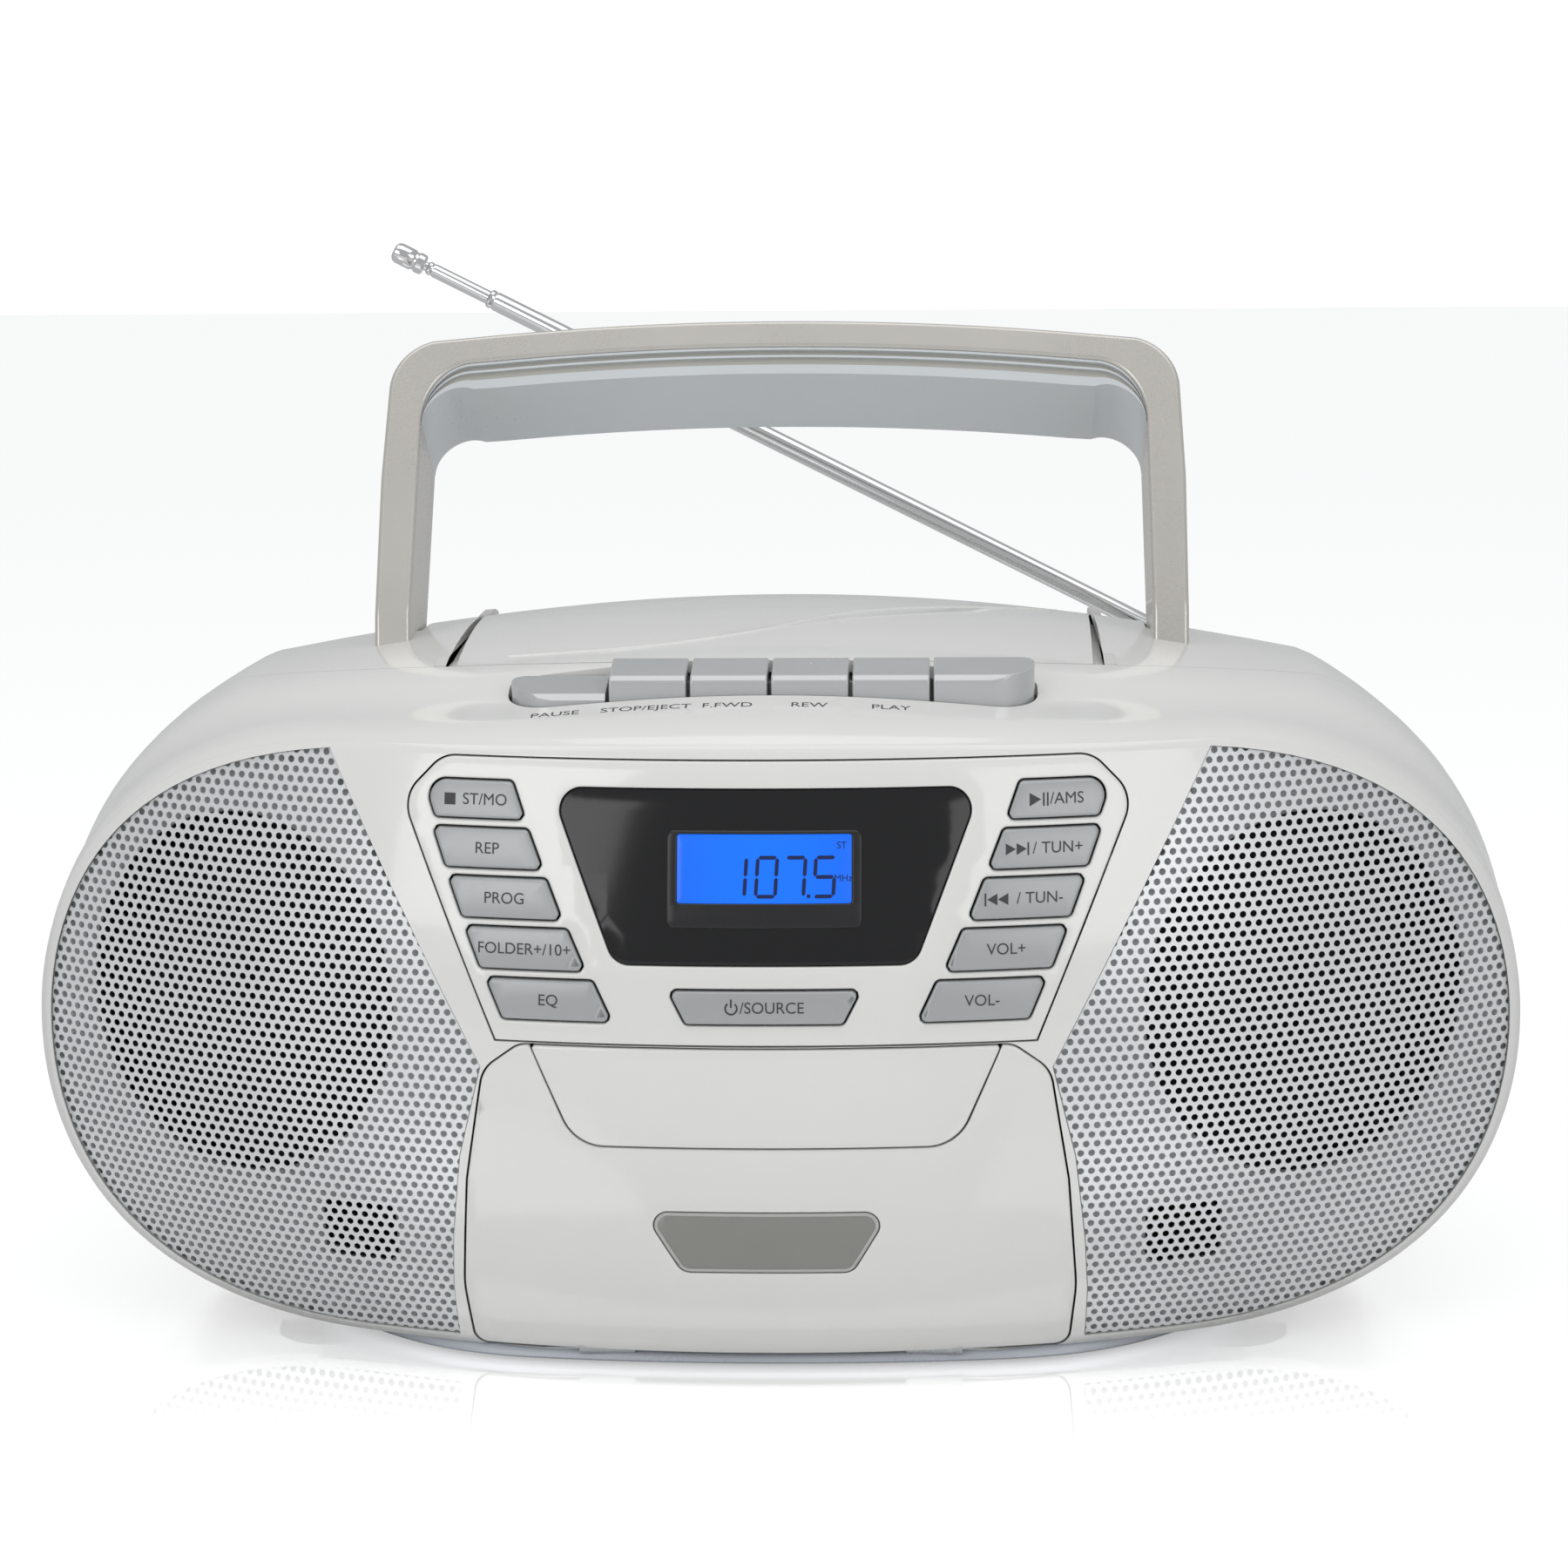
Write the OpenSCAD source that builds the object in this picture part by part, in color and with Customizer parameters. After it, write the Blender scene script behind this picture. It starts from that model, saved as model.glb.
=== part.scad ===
// Portable disc, radio and cassette player with a swing handle and a telescopic aerial.
// Millimetres. X runs to the right seen from the front, the front faces -Y, Z is up, and the set stands on z = 0.

/* [Cabinet] */
// overall width of the cabinet
body_w = 322; // [300:1:390]
// overall depth of the cabinet
body_d = 212; // [200:1:256]
// height of the crown of the top above the table
crown_z = 149.3; // [147:0.1:153]
// thickness of the moulded walls
wall = 2.5; // [2:0.1:3]
// gap round panels, buttons and doors
gap = 0.4; // [0.3:0.05:0.6]

/* [Front] */
// width of the cassette door across its middle
door_w = 126; // [122:1:132]
// height of the seam between the door and the control panel
seam_z = 71.5; // [70:0.5:74]
// how far the cassette door tips forward, in degrees
door_open = 22; // [15:1:24]
// bore of the two speaker openings
speaker_d = 68; // [60:1:72]
// height of the speaker centres
speaker_z = 76; // [70:1:80]
// radius the speaker openings sit at, measured across from the middle
speaker_x = 111.5; // [105:0.5:115]
// proud height of the silver buttons
button_proud = 0.7; // [0.4:0.1:1]

/* [Tape keys] */
// distance from one key to the next
key_pitch = 16.85; // [15.5:0.05:17.5]
// slot left between two keys
key_gap = 0.8; // [0.5:0.05:1.2]
// how far a key travels down
key_travel = 4; // [3:0.25:5]

/* [Handle] */
// width over the two arms
handle_w = 181; // [178:0.5:183]
// thickness of each arm, side to side
arm_t = 8; // [6:0.25:8.5]
// width of the arms and the bar, front to back
arm_d = 30; // [24:1:31]
// length from the pivot to the top of the bar
handle_len = 98.5; // [90:0.5:99]
// lean of the raised handle behind the vertical, in degrees
handle_lean = 28; // [20:1:34]
// diameter of the pivot pins
pivot_d = 7; // [5:0.5:8]

/* [Disc lid] */
// width of the disc lid
lid_w = 140; // [136:1:146]
// radius of the disc well
well_r = 61; // [60.5:0.1:61.4]

/* [Aerial] */
// diameter of the outer tube
tube_d = 4.7; // [4:0.1:5.5]
// length of the outer tube
tube_len = 195.4; // [170:0.1:200]
// angle of the aerial above the horizontal, in degrees
aerial_tilt = 26.7; // [10:0.1:60]

/* [Hidden] */
$fn = 64;
e = 0.01;
kx = body_w / 322;
yf = -body_d / 2;
yr = body_d / 2;
hw = body_w / 2;
zc = 70;
bow_r = 228 * kx;
base_z = 3;
seam_r = bow_r - 52;
outline_n = 2.6;
pin_run = 0.06;
door_axis = [yf + 22.5, 3.9];
pivot = [0, 118];
well_y = 10;
lid_axis = [72, 138.5];
rear_r = 700;
key_y0 = yf + 38;
key_y1 = yf + 51.2;
aerial = [100, yr - 3, 127.3];
cassette_z = 8;
hub_z = cassette_z + 34.3;
deck_y = yf + 40;

// ---------- shared shapes ----------
function unit(v) = v / norm(v);
function arc_d(z) = z < 60 ? 98 - sqrt(98 * 98 - (60 - z) * (60 - z)) : 175 - sqrt(175 * 175 - (z - 60) * (z - 60));
function steps(a, b, n) = [for (i = [0:n]) a + (b - a) * i / n];
shoulder = [[14.2, 128.5], [17.5, 131.4], [23, 133.8], [30, 135.4], [37, 137.2], [44, 140.4], [51, 143.6],
    [62, 145.8], [80, 147.9], [104, 150.4], [112, 153]];
tail = [[17, base_z - 2], [8, 12], [3, 28], [0, 52], [0, 74], [1.5, 96], [4.5, 114], [8.5, 126], [12.5, 133],
    [18, 139], [28, 143.8], [46, 147], [78, 149.8], [112, 153]];
front_curve = concat([for (z = steps(base_z - 2, 126.5, 15)) [arc_d(z), z]], shoulder);
// moves each point of a curve inward, square to the curve
function inward(c, o) = [for (i = [0:len(c) - 1]) let (t = unit(c[min(i + 1, len(c) - 1)] - c[max(i - 1, 0)]))
    c[i] + o * [t[1], -t[0]]];
function front_profile(o) = concat([[0, base_z - 2]], [for (p = inward(front_curve, o)) [bow_r - p[0], p[1]]],
    [[0, 153 - o]]);
function rear_profile(o) = concat([[0, base_z - 2]], [for (p = inward(tail, o)) [rear_r - p[0], p[1]]],
    [[0, 153 - o]]);
function pow_s(c, n) = sign(c) * pow(abs(c), 2 / n);
function crown(x) = crown_z - 0.00085 * x * x;
function outline(o) = [for (a = [0:5:355]) let (x = (hw - o) * pow_s(cos(a), outline_n),
    z = zc + (86 - o) * pow_s(sin(a), outline_n)) [x, max(base_z + o, min(z, crown(x) - o))]];
plan_half = [[161, -120], [161, -20], [159.5, 8], [156, 34], [149, 62], [139, 86], [126, 106], [112, 122]];
function plan(o) = concat([for (p = plan_half) [p[0] * kx - o, p[1] * body_d / 212]],
    [for (i = [7:-1:0]) [o - plan_half[i][0] * kx, plan_half[i][1] * body_d / 212]]);

// a closed polygon with each corner rounded by its own radius
function rpoly(p, r, n = 4) = [for (i = [0:len(p) - 1]) let (a = p[(i + len(p) - 1) % len(p)], b = p[i],
    c = p[(i + 1) % len(p)], u = unit(a - b), v = unit(c - b), h = acos(min(1, max(-1, u * v))) / 2,
    q = r[i], t = q / tan(h), m = b + unit(u + v) * q / sin(h), s = b + u * t - m, f = b + v * t - m)
    each (q < 0.05 ? [b] : [for (k = [0:n]) m + q * unit(s * (1 - k / n) + f * (k / n))])];
function grow(p, g) = [for (i = [0:len(p) - 1]) let (a = p[(i + len(p) - 1) % len(p)], b = p[i],
    c = p[(i + 1) % len(p)], u = unit(b - a), v = unit(c - b), nu = [-u[1], u[0]], nv = [-v[1], v[0]])
    b + g * (nu + nv) / (1 + nu * nv)];
function mirrored(p) = [for (i = [len(p) - 1:-1:0]) [-p[i][0], p[i][1]]];

module prism(p, y0, y1) translate([0, y1, 0]) rotate([90, 0, 0]) linear_extrude(y1 - y0) polygon(p);
module side(p, x0, x1) translate([x0, 0, 0]) rotate([90, 0, 90]) linear_extrude(x1 - x0) polygon(p);
module rod_x(d, x0, x1, y, z) translate([x0, y, z]) rotate([0, 90, 0]) cylinder(d = d, h = x1 - x0);
module rod_y(d, y0, y1, x, z) translate([x, y1, z]) rotate([90, 0, 0]) cylinder(d = d, h = y1 - y0);
module box(x0, x1, y0, y1, z0, z1) translate([x0, y0, z0]) cube([x1 - x0, y1 - y0, z1 - z0]);
// a layer of the front wall between two depths below its surface
module layer(z0, z1, a, b, n = 10) translate([0, yf + bow_r, 0]) rotate([0, 0, -145]) rotate_extrude(angle = 110)
    polygon(concat([for (z = steps(z0, z1, n)) [bow_r - arc_d(z) - a, z]],
    [for (z = steps(z1, z0, n)) [bow_r - arc_d(z) - b, z]]));
module panel(p, z0, z1, a, b, n = 10) intersection() { layer(z0, z1, a, b, n); prism(p, yf - 3, yf + 60); }
module body(o) intersection() {
    translate([0, yf + bow_r, 0]) rotate_extrude() polygon(front_profile(o));
    translate([0, yr - rear_r, 0]) rotate_extrude($fn = 256) polygon(rear_profile(o));
    prism(outline(o), yf - 5, yr + 5);
    translate([0, 0, base_z + o]) linear_extrude(160) polygon(plan(o));
}
module seam_cylinder(r) translate([0, yf + bow_r, -5]) cylinder(r = r, h = 170, $fn = 128);
// a direction square to the front wall at a given distance from the middle
module facing(x, z) translate([0, yf + bow_r, z]) rotate([0, 0, asin(x / bow_r)]) translate([0, arc_d(z) - bow_r, 0])
    rotate([90, 0, 0]) children();

// ---------- outlines of the front ----------
panel_pts = rpoly([[-66.5, 128.2], [-75, 119.5], [-55, seam_z + 0.3], [55, seam_z + 0.3], [75, 119.5], [66.5, 128.2]],
    [7, 7, 0, 0, 7, 7]);
window_pts = [[-43.7, 122.5], [-30.3, 88], [30.3, 88], [43.7, 122.5]];
dh = door_w / 2;
function door_pts(g) = rpoly(concat([[-50 - g / 2, seam_z - 0.3 + g], [5.5 - dh - g, 65.8 + g / 2], [1.7 - dh - g, 42.5],
    [-dh - 0.1 - g, 18], [1.2 - dh - g, 3.6 - g]], mirrored([[-50 - g / 2, seam_z - 0.3 + g], [5.5 - dh - g, 65.8 + g / 2],
    [1.7 - dh - g, 42.5], [-dh - 0.1 - g, 18], [1.2 - dh - g, 3.6 - g]])), [5, 7, 40, 30, 3, 3, 30, 40, 7, 5]);
cwin_pts = [[-25.1, 37], [-17.4, 23.5], [17.4, 23.5], [25.1, 37]];
accent_pts = [[-53.5, seam_z - 1], [-38.5, 51], [38.5, 51], [53.5, seam_z - 1]];
// rows of side buttons: [outer top, inner top, inner bottom, outer bottom, top z, bottom z]
rows = [[-70.3, -51.7, -49, -67.6, 123.3, 116.1], [-68, -48.3, -45.2, -65.2, 114, 106.4],
    [-64.6, -44.4, -41.2, -61.6, 104.4, 96.6], [-61, -40, -36.4, -57.8, 94.6, 86.6],
    [-56.6, -34.8, -31, -53.2, 84.5, 76.6]];
function row_pts(i) = let (r = rows[i]) [[r[0], r[4]], [r[3], r[5]], [r[2], r[5]], [r[1], r[4]]];
source_pts = [[-19.2, 83], [-15.8, 76.5], [15.8, 76.5], [19.2, 83]];
function corner_r(i) = i == 0 ? [3, 1, 1, 1] : [1, 1, 1, 1];

function bez(a, b, c, d, n = 12) = [for (i = [0:n]) let (t = i / n, u = 1 - t)
    u * u * u * a + 3 * u * u * t * b + 3 * u * t * t * c + t * t * t * d];
grille_pts = [for (p = concat(bez([-91.1, 128.2], [-141.1, 123.2], [-157, 92], [-157, 66]),
    bez([-157, 66], [-157, 40], [-143, 5.2], [-85, 5.2]),
    [[-65.3, 5.2], [-65.6, 17], [-64.9, 29], [-62.8, 47.2], [-58.1, 66.3]])) [p[0] * kx, p[1]]];
clean_pts = [for (i = [0:len(grille_pts) - 1]) if (i != 13) grille_pts[i]];
module grille_shape(m = 0) prism(grow(clean_pts, -m), yf - 6, -19);
module both() { children(); mirror([1, 0, 0]) children(); }

// room swept by the handle between upright stop and folded
function hy(l, w) = pivot[0] + l * sin(handle_lean) - w * cos(handle_lean);
function hz(l, w) = pivot[1] + l * cos(handle_lean) + w * sin(handle_lean);
module handle_room() {
    c = 1;
    both() side([[hy(60, arm_d / 2 + c), hz(60, arm_d / 2 + c)], [hy(12, arm_d / 2 + c), hz(12, arm_d / 2 + c)],
        [-17, 112], [-10, 102], [6, 101.5], [yr + 9, 101.5], [yr + 9, 190]], handle_w / 2 - arm_t - 0.8, handle_w / 2 + 0.8);
    side([[79.4, 101.5], [yr + 9, 101.5], [yr + 9, 190], [60, 190], [75, 144.5], [76.4, 139.5], [78.5, 130.5],
        [79.4, 119]], -handle_w / 2 - 0.8, handle_w / 2 + 0.8);
    both() side([[71, 101.5], [yr + 9, 101.5], [yr + 9, 190], [55, 190], [62, 150], [67.8, 145], [71, 134]],
        lid_w / 2 + 4.6, handle_w / 2 - arm_t);
}
module handle_walls() {
    both() side([[hy(60, 20), hz(60, 20)], [hy(10, 20), hz(10, 20)], [-20, 108], [-12, 99], [yr, 99], [yr, 190]],
        handle_w / 2 - arm_t - 3, handle_w / 2 + 3);
    side([[76.7, 99], [yr, 99], [yr, 190], [60, 190], [74, 144.5], [76.7, 138]], -handle_w / 2, handle_w / 2);
    both() side([[69.2, 99], [yr, 99], [yr, 190], [53, 190], [60.5, 150], [66, 144], [69.2, 132]], lid_w / 2 + 3.2,
        handle_w / 2 - arm_t);
}

// ---------- cabinet ----------
module front_cabinet() color([0.93, 0.93, 0.91]) difference() {
    union() {
        difference() { body(0); body(wall); seam_cylinder(seam_r + 0.1); }
        // baffle behind each grille
        both() intersection() {
            difference() { body(1); body(1.9 + wall); seam_cylinder(seam_r + 0.1); }
            grille_shape(2);
        }
    }
    both() difference() { grille_shape(0); body(1.9); }
    both() facing(speaker_x, speaker_z) cylinder(d = speaker_d, h = 40, center = true);
    both() facing(85.6, 27.8) linear_extrude(40, center = true) square([14, 13.6], center = true);
    prism(panel_pts, yf - 3, yf + 40);
    prism(door_pts(gap), yf - 3, yf + 47);
    // relief under the foot of the door, which dips as the door tips
    box(2 - dh, dh - 2, yf - 5, door_axis[0] + 1, base_z - 1, 9);
    // recess and slot of the tape keys
    box(-3 * key_pitch - 4.4, 3 * key_pitch + 5.2, key_y0 - 0.6, key_y1 + 2, 118, 160);
    // bottom notch that clears the knuckles of the door
    both() box(28, 40, door_axis[0] - 4, door_axis[0] + 4, base_z - 1, 9);
}

module rear_cabinet() color([0.91, 0.91, 0.89]) difference() {
    union() {
        difference() { intersection() { body(0); seam_cylinder(seam_r - 0.1); } body(wall); }
        intersection() { body(0); seam_cylinder(seam_r - 0.1); handle_walls(); }
        // boss of the aerial
        rod_y(11, yr - 30, aerial[1] - 3.8, aerial[0], aerial[2]);
    }
    handle_room();
    // opening of the disc deck
    box(-lid_w / 2 - gap, lid_w / 2 + gap, yf, 76.6, 120, 170);
    both() rod_x(pivot_d, handle_w / 2 - arm_t - 2.8, handle_w / 2 + 2.8, pivot[0], pivot[1]);
    // battery bay, mains inlet, vents
    box(-62, 62, yr - 9, yr + 5, 14, 68);
    box(-121, -97, yr - 37, yr + 9, 24, 40);
    for (i = [-3:3]) box(i * 12 - 3, i * 12 + 3, yr - 20, yr + 5, 76, 90);
    both() rod_y(3.2, yr - 30, yr, 100 * kx, 60);
    rod_y(3 + 2 * pin_run, yr - 32, yr + 1, aerial[0], aerial[2]);
}
base_pts = [[0, -86.4], [32, -84.6], [62, -80.4], [80, -69], [100, -41], [106, 0], [104, 50], [92, 80], [70, 90]];
function base_outline(o) = concat([for (p = base_pts) [p[0] * (1 - o / 90), p[1] * body_d / 212 * (1 - o / 90)]],
    [for (i = [8:-1:1]) [-base_pts[i][0] * (1 - o / 90), base_pts[i][1] * body_d / 212 * (1 - o / 90)]]);
foot_at = [[-74, -46], [74, -46], [-74, 66], [74, 66]];
screw_at = [[-88, 30], [88, 30], [-50, -66], [50, -66]];
module base() color([0.78, 0.8, 0.84]) difference() {
    union() {
        translate([0, 0, 0.6]) linear_extrude(0.9) polygon(base_outline(0));
        translate([0, 0, 1.5 - e]) linear_extrude(base_z - 1.5 + e) polygon(base_outline(3));
    }
    for (p = foot_at) translate([p[0], p[1], -1]) cylinder(r = 7, h = 2.6);
    for (p = screw_at) translate([p[0], p[1], -1]) cylinder(d = 5, h = 2.4);
    both() box(28, 40, door_axis[0] - 4, door_axis[0] + 4.5, 1, 9);
}
module rubber_feet() color([0.12, 0.12, 0.12]) for (p = foot_at) translate([p[0], p[1], 0]) cylinder(r = 7, h = 1.6);
module case_screws() color([0.6, 0.6, 0.62])
    for (p = screw_at) translate([p[0], p[1], 0.9]) cylinder(d = 4.6, h = 0.5);

// ---------- control panel ----------
module control_panel() color([0.94, 0.94, 0.92]) difference() {
    panel(panel_pts, 70, 130, 0, wall, 12);
    prism(rpoly(grow(window_pts, -0.1), [4.6, 4.6, 4.6, 4.6]), yf - 3, yf + 30);
    for (i = [0:4]) for (m = [0, 1]) mirror([m, 0, 0])
        prism(rpoly(grow(row_pts(i), -gap), corner_r(i) + [gap, gap, gap, gap]), yf - 3, yf + 40);
    prism(rpoly(grow(source_pts, -gap), [1, 1, 1, 1]), yf - 3, yf + 30);
}
module display_window() color([0.02, 0.02, 0.03])
    panel(rpoly(window_pts, [4.5, 4.5, 4.5, 4.5]), 86, 124, 0.3, 2.2, 8);
module lcd_module() color([0, 0.43, 1]) translate([0, yf + 10.6, 104.9]) rotate([-14, 0, 0])
    translate([-22, 0, -12]) cube([44, 3.6, 24]);
board_y = yf + 26;
module button_board() color([0.1, 0.35, 0.2]) difference() {
    box(-66, 66, board_y, board_y + 1.6, 76.5, 122);
    box(-3, 3, board_y - 1, board_y + 3, 90, 96);
}
module side_button(i, m) color([0.66, 0.68, 0.68]) mirror([m, 0, 0]) {
    r = rows[i];
    panel(rpoly(row_pts(i), corner_r(i)), r[5] - 1, r[4] + 1, -button_proud, 2.6, 3);
    rod_y(3, yf + 1.3 + pow((r[0] + r[2]) / 2, 2) / 2 / bow_r + arc_d(r[4]), board_y - 1.6, (r[0] + r[2]) / 2,
        (r[4] + r[5]) / 2);
}
module button_st_mo() side_button(0, 0);
module button_rep() side_button(1, 0);
module button_prog() side_button(2, 0);
module button_folder() side_button(3, 0);
module button_eq() side_button(4, 0);
module button_play_pause() side_button(0, 1);
module button_tune_up() side_button(1, 1);
module button_tune_down() side_button(2, 1);
module button_volume_up() side_button(3, 1);
module button_volume_down() side_button(4, 1);
module button_source() color([0.66, 0.68, 0.68]) {
    panel(rpoly(source_pts, [1, 1, 1, 1]), 75, 84, -button_proud, 2.6, 3);
    rod_y(3, yf + 3, board_y - 1.6, 0, 79.8);
}

// ---------- speakers and grilles ----------
module grille() color([0.72, 0.73, 0.73]) intersection() {
    difference() { body(0.7); body(1.9); }
    grille_shape(-0.25);
}
module left_grille() grille();
module right_grille() mirror([1, 0, 0]) grille();
module speaker() color([0.1, 0.1, 0.11]) facing(speaker_x, speaker_z) rotate([-5, 0, 0]) translate([0, 0, -9.6]) mirror([0, 0, 1])
    difference() {
    rotate_extrude() polygon([[10, 9], [16, 13], [33, 3.2], [36, 3.2], [36, 0], [speaker_d / 2 + 3.5, 0],
        [speaker_d / 2 + 3.5, 3.2], [31, 12], [20, 22], [20, 34], [0, 34], [0, 12], [4, 8]]);
    for (a = [45:90:315]) rotate([0, 0, a]) translate([speaker_d / 2 + 1.6, 0, -1]) cylinder(r = 0.9, h = 6);
}
module left_speaker() mirror([1, 0, 0]) speaker();
module right_speaker() speaker();

// ---------- tape keys ----------
function key_x(i) = [-33.7 + (i - 1) * key_pitch + key_gap / 2, -33.7 + i * key_pitch - key_gap / 2];
key_side = [[key_y0, 131], [key_y0, 141.2], [key_y0 + 1.2, 142.5], [key_y1, 144.8], [key_y1, 131]];
module key(x0, x1, drop, end = 0) color([0.75, 0.76, 0.77]) translate([0, 0, -drop]) {
    intersection() {
        side(key_side, x0, x1);
        translate([0, 0, 120]) linear_extrude(40) polygon(end == 0 ? [[x0, -90], [x1, -90], [x1, 0], [x0, 0]]
            : rpoly(end < 0 ? [[x0, key_y0], [x1, key_y0], [x1, key_y1], [x0, key_y1]] :
            [[x0, key_y0], [x1, key_y0], [x1, key_y1], [x0, key_y1]], end < 0 ? [9, 0, 0, 3] : [0, 9, 3, 0]));
    }
    box((x0 + x1) / 2 - 4, (x0 + x1) / 2 + 4, key_y0 + 5, key_y0 + 7.5, 112, 131.5);
}
pause_drop = key_travel - 0.2;
module key_pause() key(-3 * key_pitch - 3.8, key_x(0)[1], pause_drop, -1);
module key_stop_eject() key(key_x(1)[0], key_x(1)[1], 0);
module key_fast_forward() key(key_x(2)[0], key_x(2)[1], 0);
module key_rewind() key(key_x(3)[0], key_x(3)[1], 0);
module key_play() key(key_x(4)[0], key_x(4)[1], 0);
module key_record() key(key_x(5)[0], 3 * key_pitch + 4.6, 0, 1);

// ---------- cassette bay ----------
module cassette_door() color([0.93, 0.93, 0.91]) difference() {
    union() {
        difference() {
            panel(door_pts(0), 3.5, 72.5, 0, 2.2, 14);
            prism(rpoly(grow(cwin_pts, -0.05), [3, 3, 3, 3]), yf - 3, yf + 30);
            panel(rpoly(grow(accent_pts, -0.05), [3, 9, 9, 3]), 48, 73, -1, 1.2, 6);
        }
        panel(rpoly(grow(accent_pts, -1), [3, 9, 9, 3]), 49, 71, 1.2, 2.6, 6);
        both() side([[door_axis[0] - 2.1, door_axis[1]], [door_axis[0] - 1.6, door_axis[1] - 2.2],
            [door_axis[0] + 1.6, door_axis[1] - 2.2], [door_axis[0] + 3, door_axis[1]], [door_axis[0] + 3, 14],
            [yf + 15, 24], [yf + 11.8, 24], [yf + 19.3, 6.5]], 30, 34);
    }
    both() rod_x(3 + 2 * pin_run, 25, 45, door_axis[0], door_axis[1]);
}
module door_accent() color([0.95, 0.95, 0.93])
    panel(rpoly(accent_pts, [3, 9, 9, 3]), 49, 72, 0, 1.15, 6);
module cassette_window() color([0.55, 0.55, 0.52])
    panel(rpoly(cwin_pts, [3, 3, 3, 3]), 22, 38, 0.3, 2, 5);
// channels that carry the cassette behind the door
module cassette_holder() color([0.15, 0.15, 0.16]) both() intersection() {
    layer(cassette_z - 3, 66, 2.2, 60, 14);
    difference() {
        union() {
            box(50.6, 53.2, yf, deck_y - 1.2, cassette_z - 0.5, 64);
            box(36, 53.2, yf, deck_y - 1.2, cassette_z - 2.2, cassette_z - 0.4);
            box(30, 53.2, yf + 22.6, yf + 24.6, cassette_z - 2, 50);
        }
        box(25, 50.5, yf, yf + 30, cassette_z + 8, 40);
    }
}
module tape_chassis() color([0.62, 0.63, 0.65]) difference() {
    union() {
        box(-56, 56, deck_y, deck_y + 1.6, 8, 108);
        box(-56, -53, deck_y, deck_y + 26, 8, 108);
        box(53, 56, deck_y, deck_y + 26, 8, 108);
        box(-56, 56, deck_y + 24.4, deck_y + 26, 8, 60);
        for (x = [-21.25, 21.25]) rod_y(6, deck_y, deck_y + 24.5, x, hub_z);
        rod_y(7, deck_y, deck_y + 24.5, 31, 62);
    }
    for (x = [-21.25, 21.25]) rod_y(3 + 2 * pin_run, deck_y - 1, deck_y + 20, x, hub_z);
    rod_y(2.2 + 2 * pin_run, deck_y - 1, deck_y + 30, 31, 62);
    // slots of the head plate
    both() box(38, 41.2, deck_y - 1, deck_y + 2, 75.5, 86);
}
module spindle(x) color([0.85, 0.85, 0.82]) translate([x, 0, hub_z]) {
    rod_y(3, deck_y - 1, deck_y + 19, 0, 0);
    rod_y(9.4, deck_y - 5, deck_y - 0.6, 0, 0);
    rod_y(5, deck_y - 11, deck_y - 4.9, 0, 0);
    for (a = [0:60:300]) rotate([0, a, 0]) box(-0.6, 0.6, deck_y - 10, deck_y - 4.9, 2, 3.6);
}
module supply_spindle() spindle(-21.25);
module takeup_spindle() spindle(21.25);
module capstan_flywheel() color([0.8, 0.8, 0.78]) {
    rod_y(2.2, deck_y - 10.5, deck_y + 22, 31, 62);
    rod_y(44, deck_y + 27, deck_y + 33, 31, 62);
    rod_y(2.2, deck_y + 21, deck_y + 28, 31, 62);
}
module head_plate() color([0.7, 0.71, 0.73]) {
    box(-44, 44, deck_y - 2.2, deck_y - 0.6, 76, 90);
    both() box(38.6, 40.6, deck_y - 1, deck_y + 1.5, 80.5, 85);
    box(-7, 7, deck_y - 12, deck_y - 2.1, 71.9, 80);
    box(28, 34, deck_y - 2.2, deck_y - 0.6, 70, 77);
    rod_y(2, deck_y - 12.1, deck_y - 2, 31, 72.6);
}
module pinch_roller() color([0.1, 0.1, 0.1]) difference() {
    rod_y(11, deck_y - 12, deck_y - 4, 31, 72.6);
    rod_y(2 + 2 * pin_run, deck_y - 13, deck_y - 4, 31, 72.6);
}
module tape_motor() color([0.68, 0.69, 0.7]) difference() {
    rod_y(32, deck_y + 2, deck_y + 24, -30, 80);
    rod_y(2 + 2 * pin_run, deck_y + 14, deck_y + 25, -30, 80);
}
module motor_pulley() color([0.75, 0.6, 0.3]) {
    rod_y(2, deck_y + 14.5, deck_y + 31, -30, 80);
    rod_y(9, deck_y + 27.5, deck_y + 31.5, -30, 80);
}
// closed path of a belt round the pulley and the flywheel, g outside them
function belt_path(g, n = 48) = let (c1 = [-30, 80], c2 = [31, 62], l = norm(c2 - c1), u = (c2 - c1) / l,
    r1 = 4.5 + g, r2 = 22 + g, b = asin((r2 - r1) / l), a0 = atan2(u[1], u[0]) - 90 - b, span = 180 + 2 * b)
    concat([for (i = [0:n]) c2 + r2 * [cos(a0 + span * i / n), sin(a0 + span * i / n)]],
    [for (i = [0:n / 2]) let (a = a0 + span + (360 - span) * 2 * i / n) c1 + r1 * [cos(a), sin(a)]]);
module drive_belt() color([0.05, 0.05, 0.05]) difference() {
    prism(belt_path(1), deck_y + 28.8, deck_y + 30);
    prism(belt_path(0.1), deck_y + 28, deck_y + 31);
}

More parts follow.
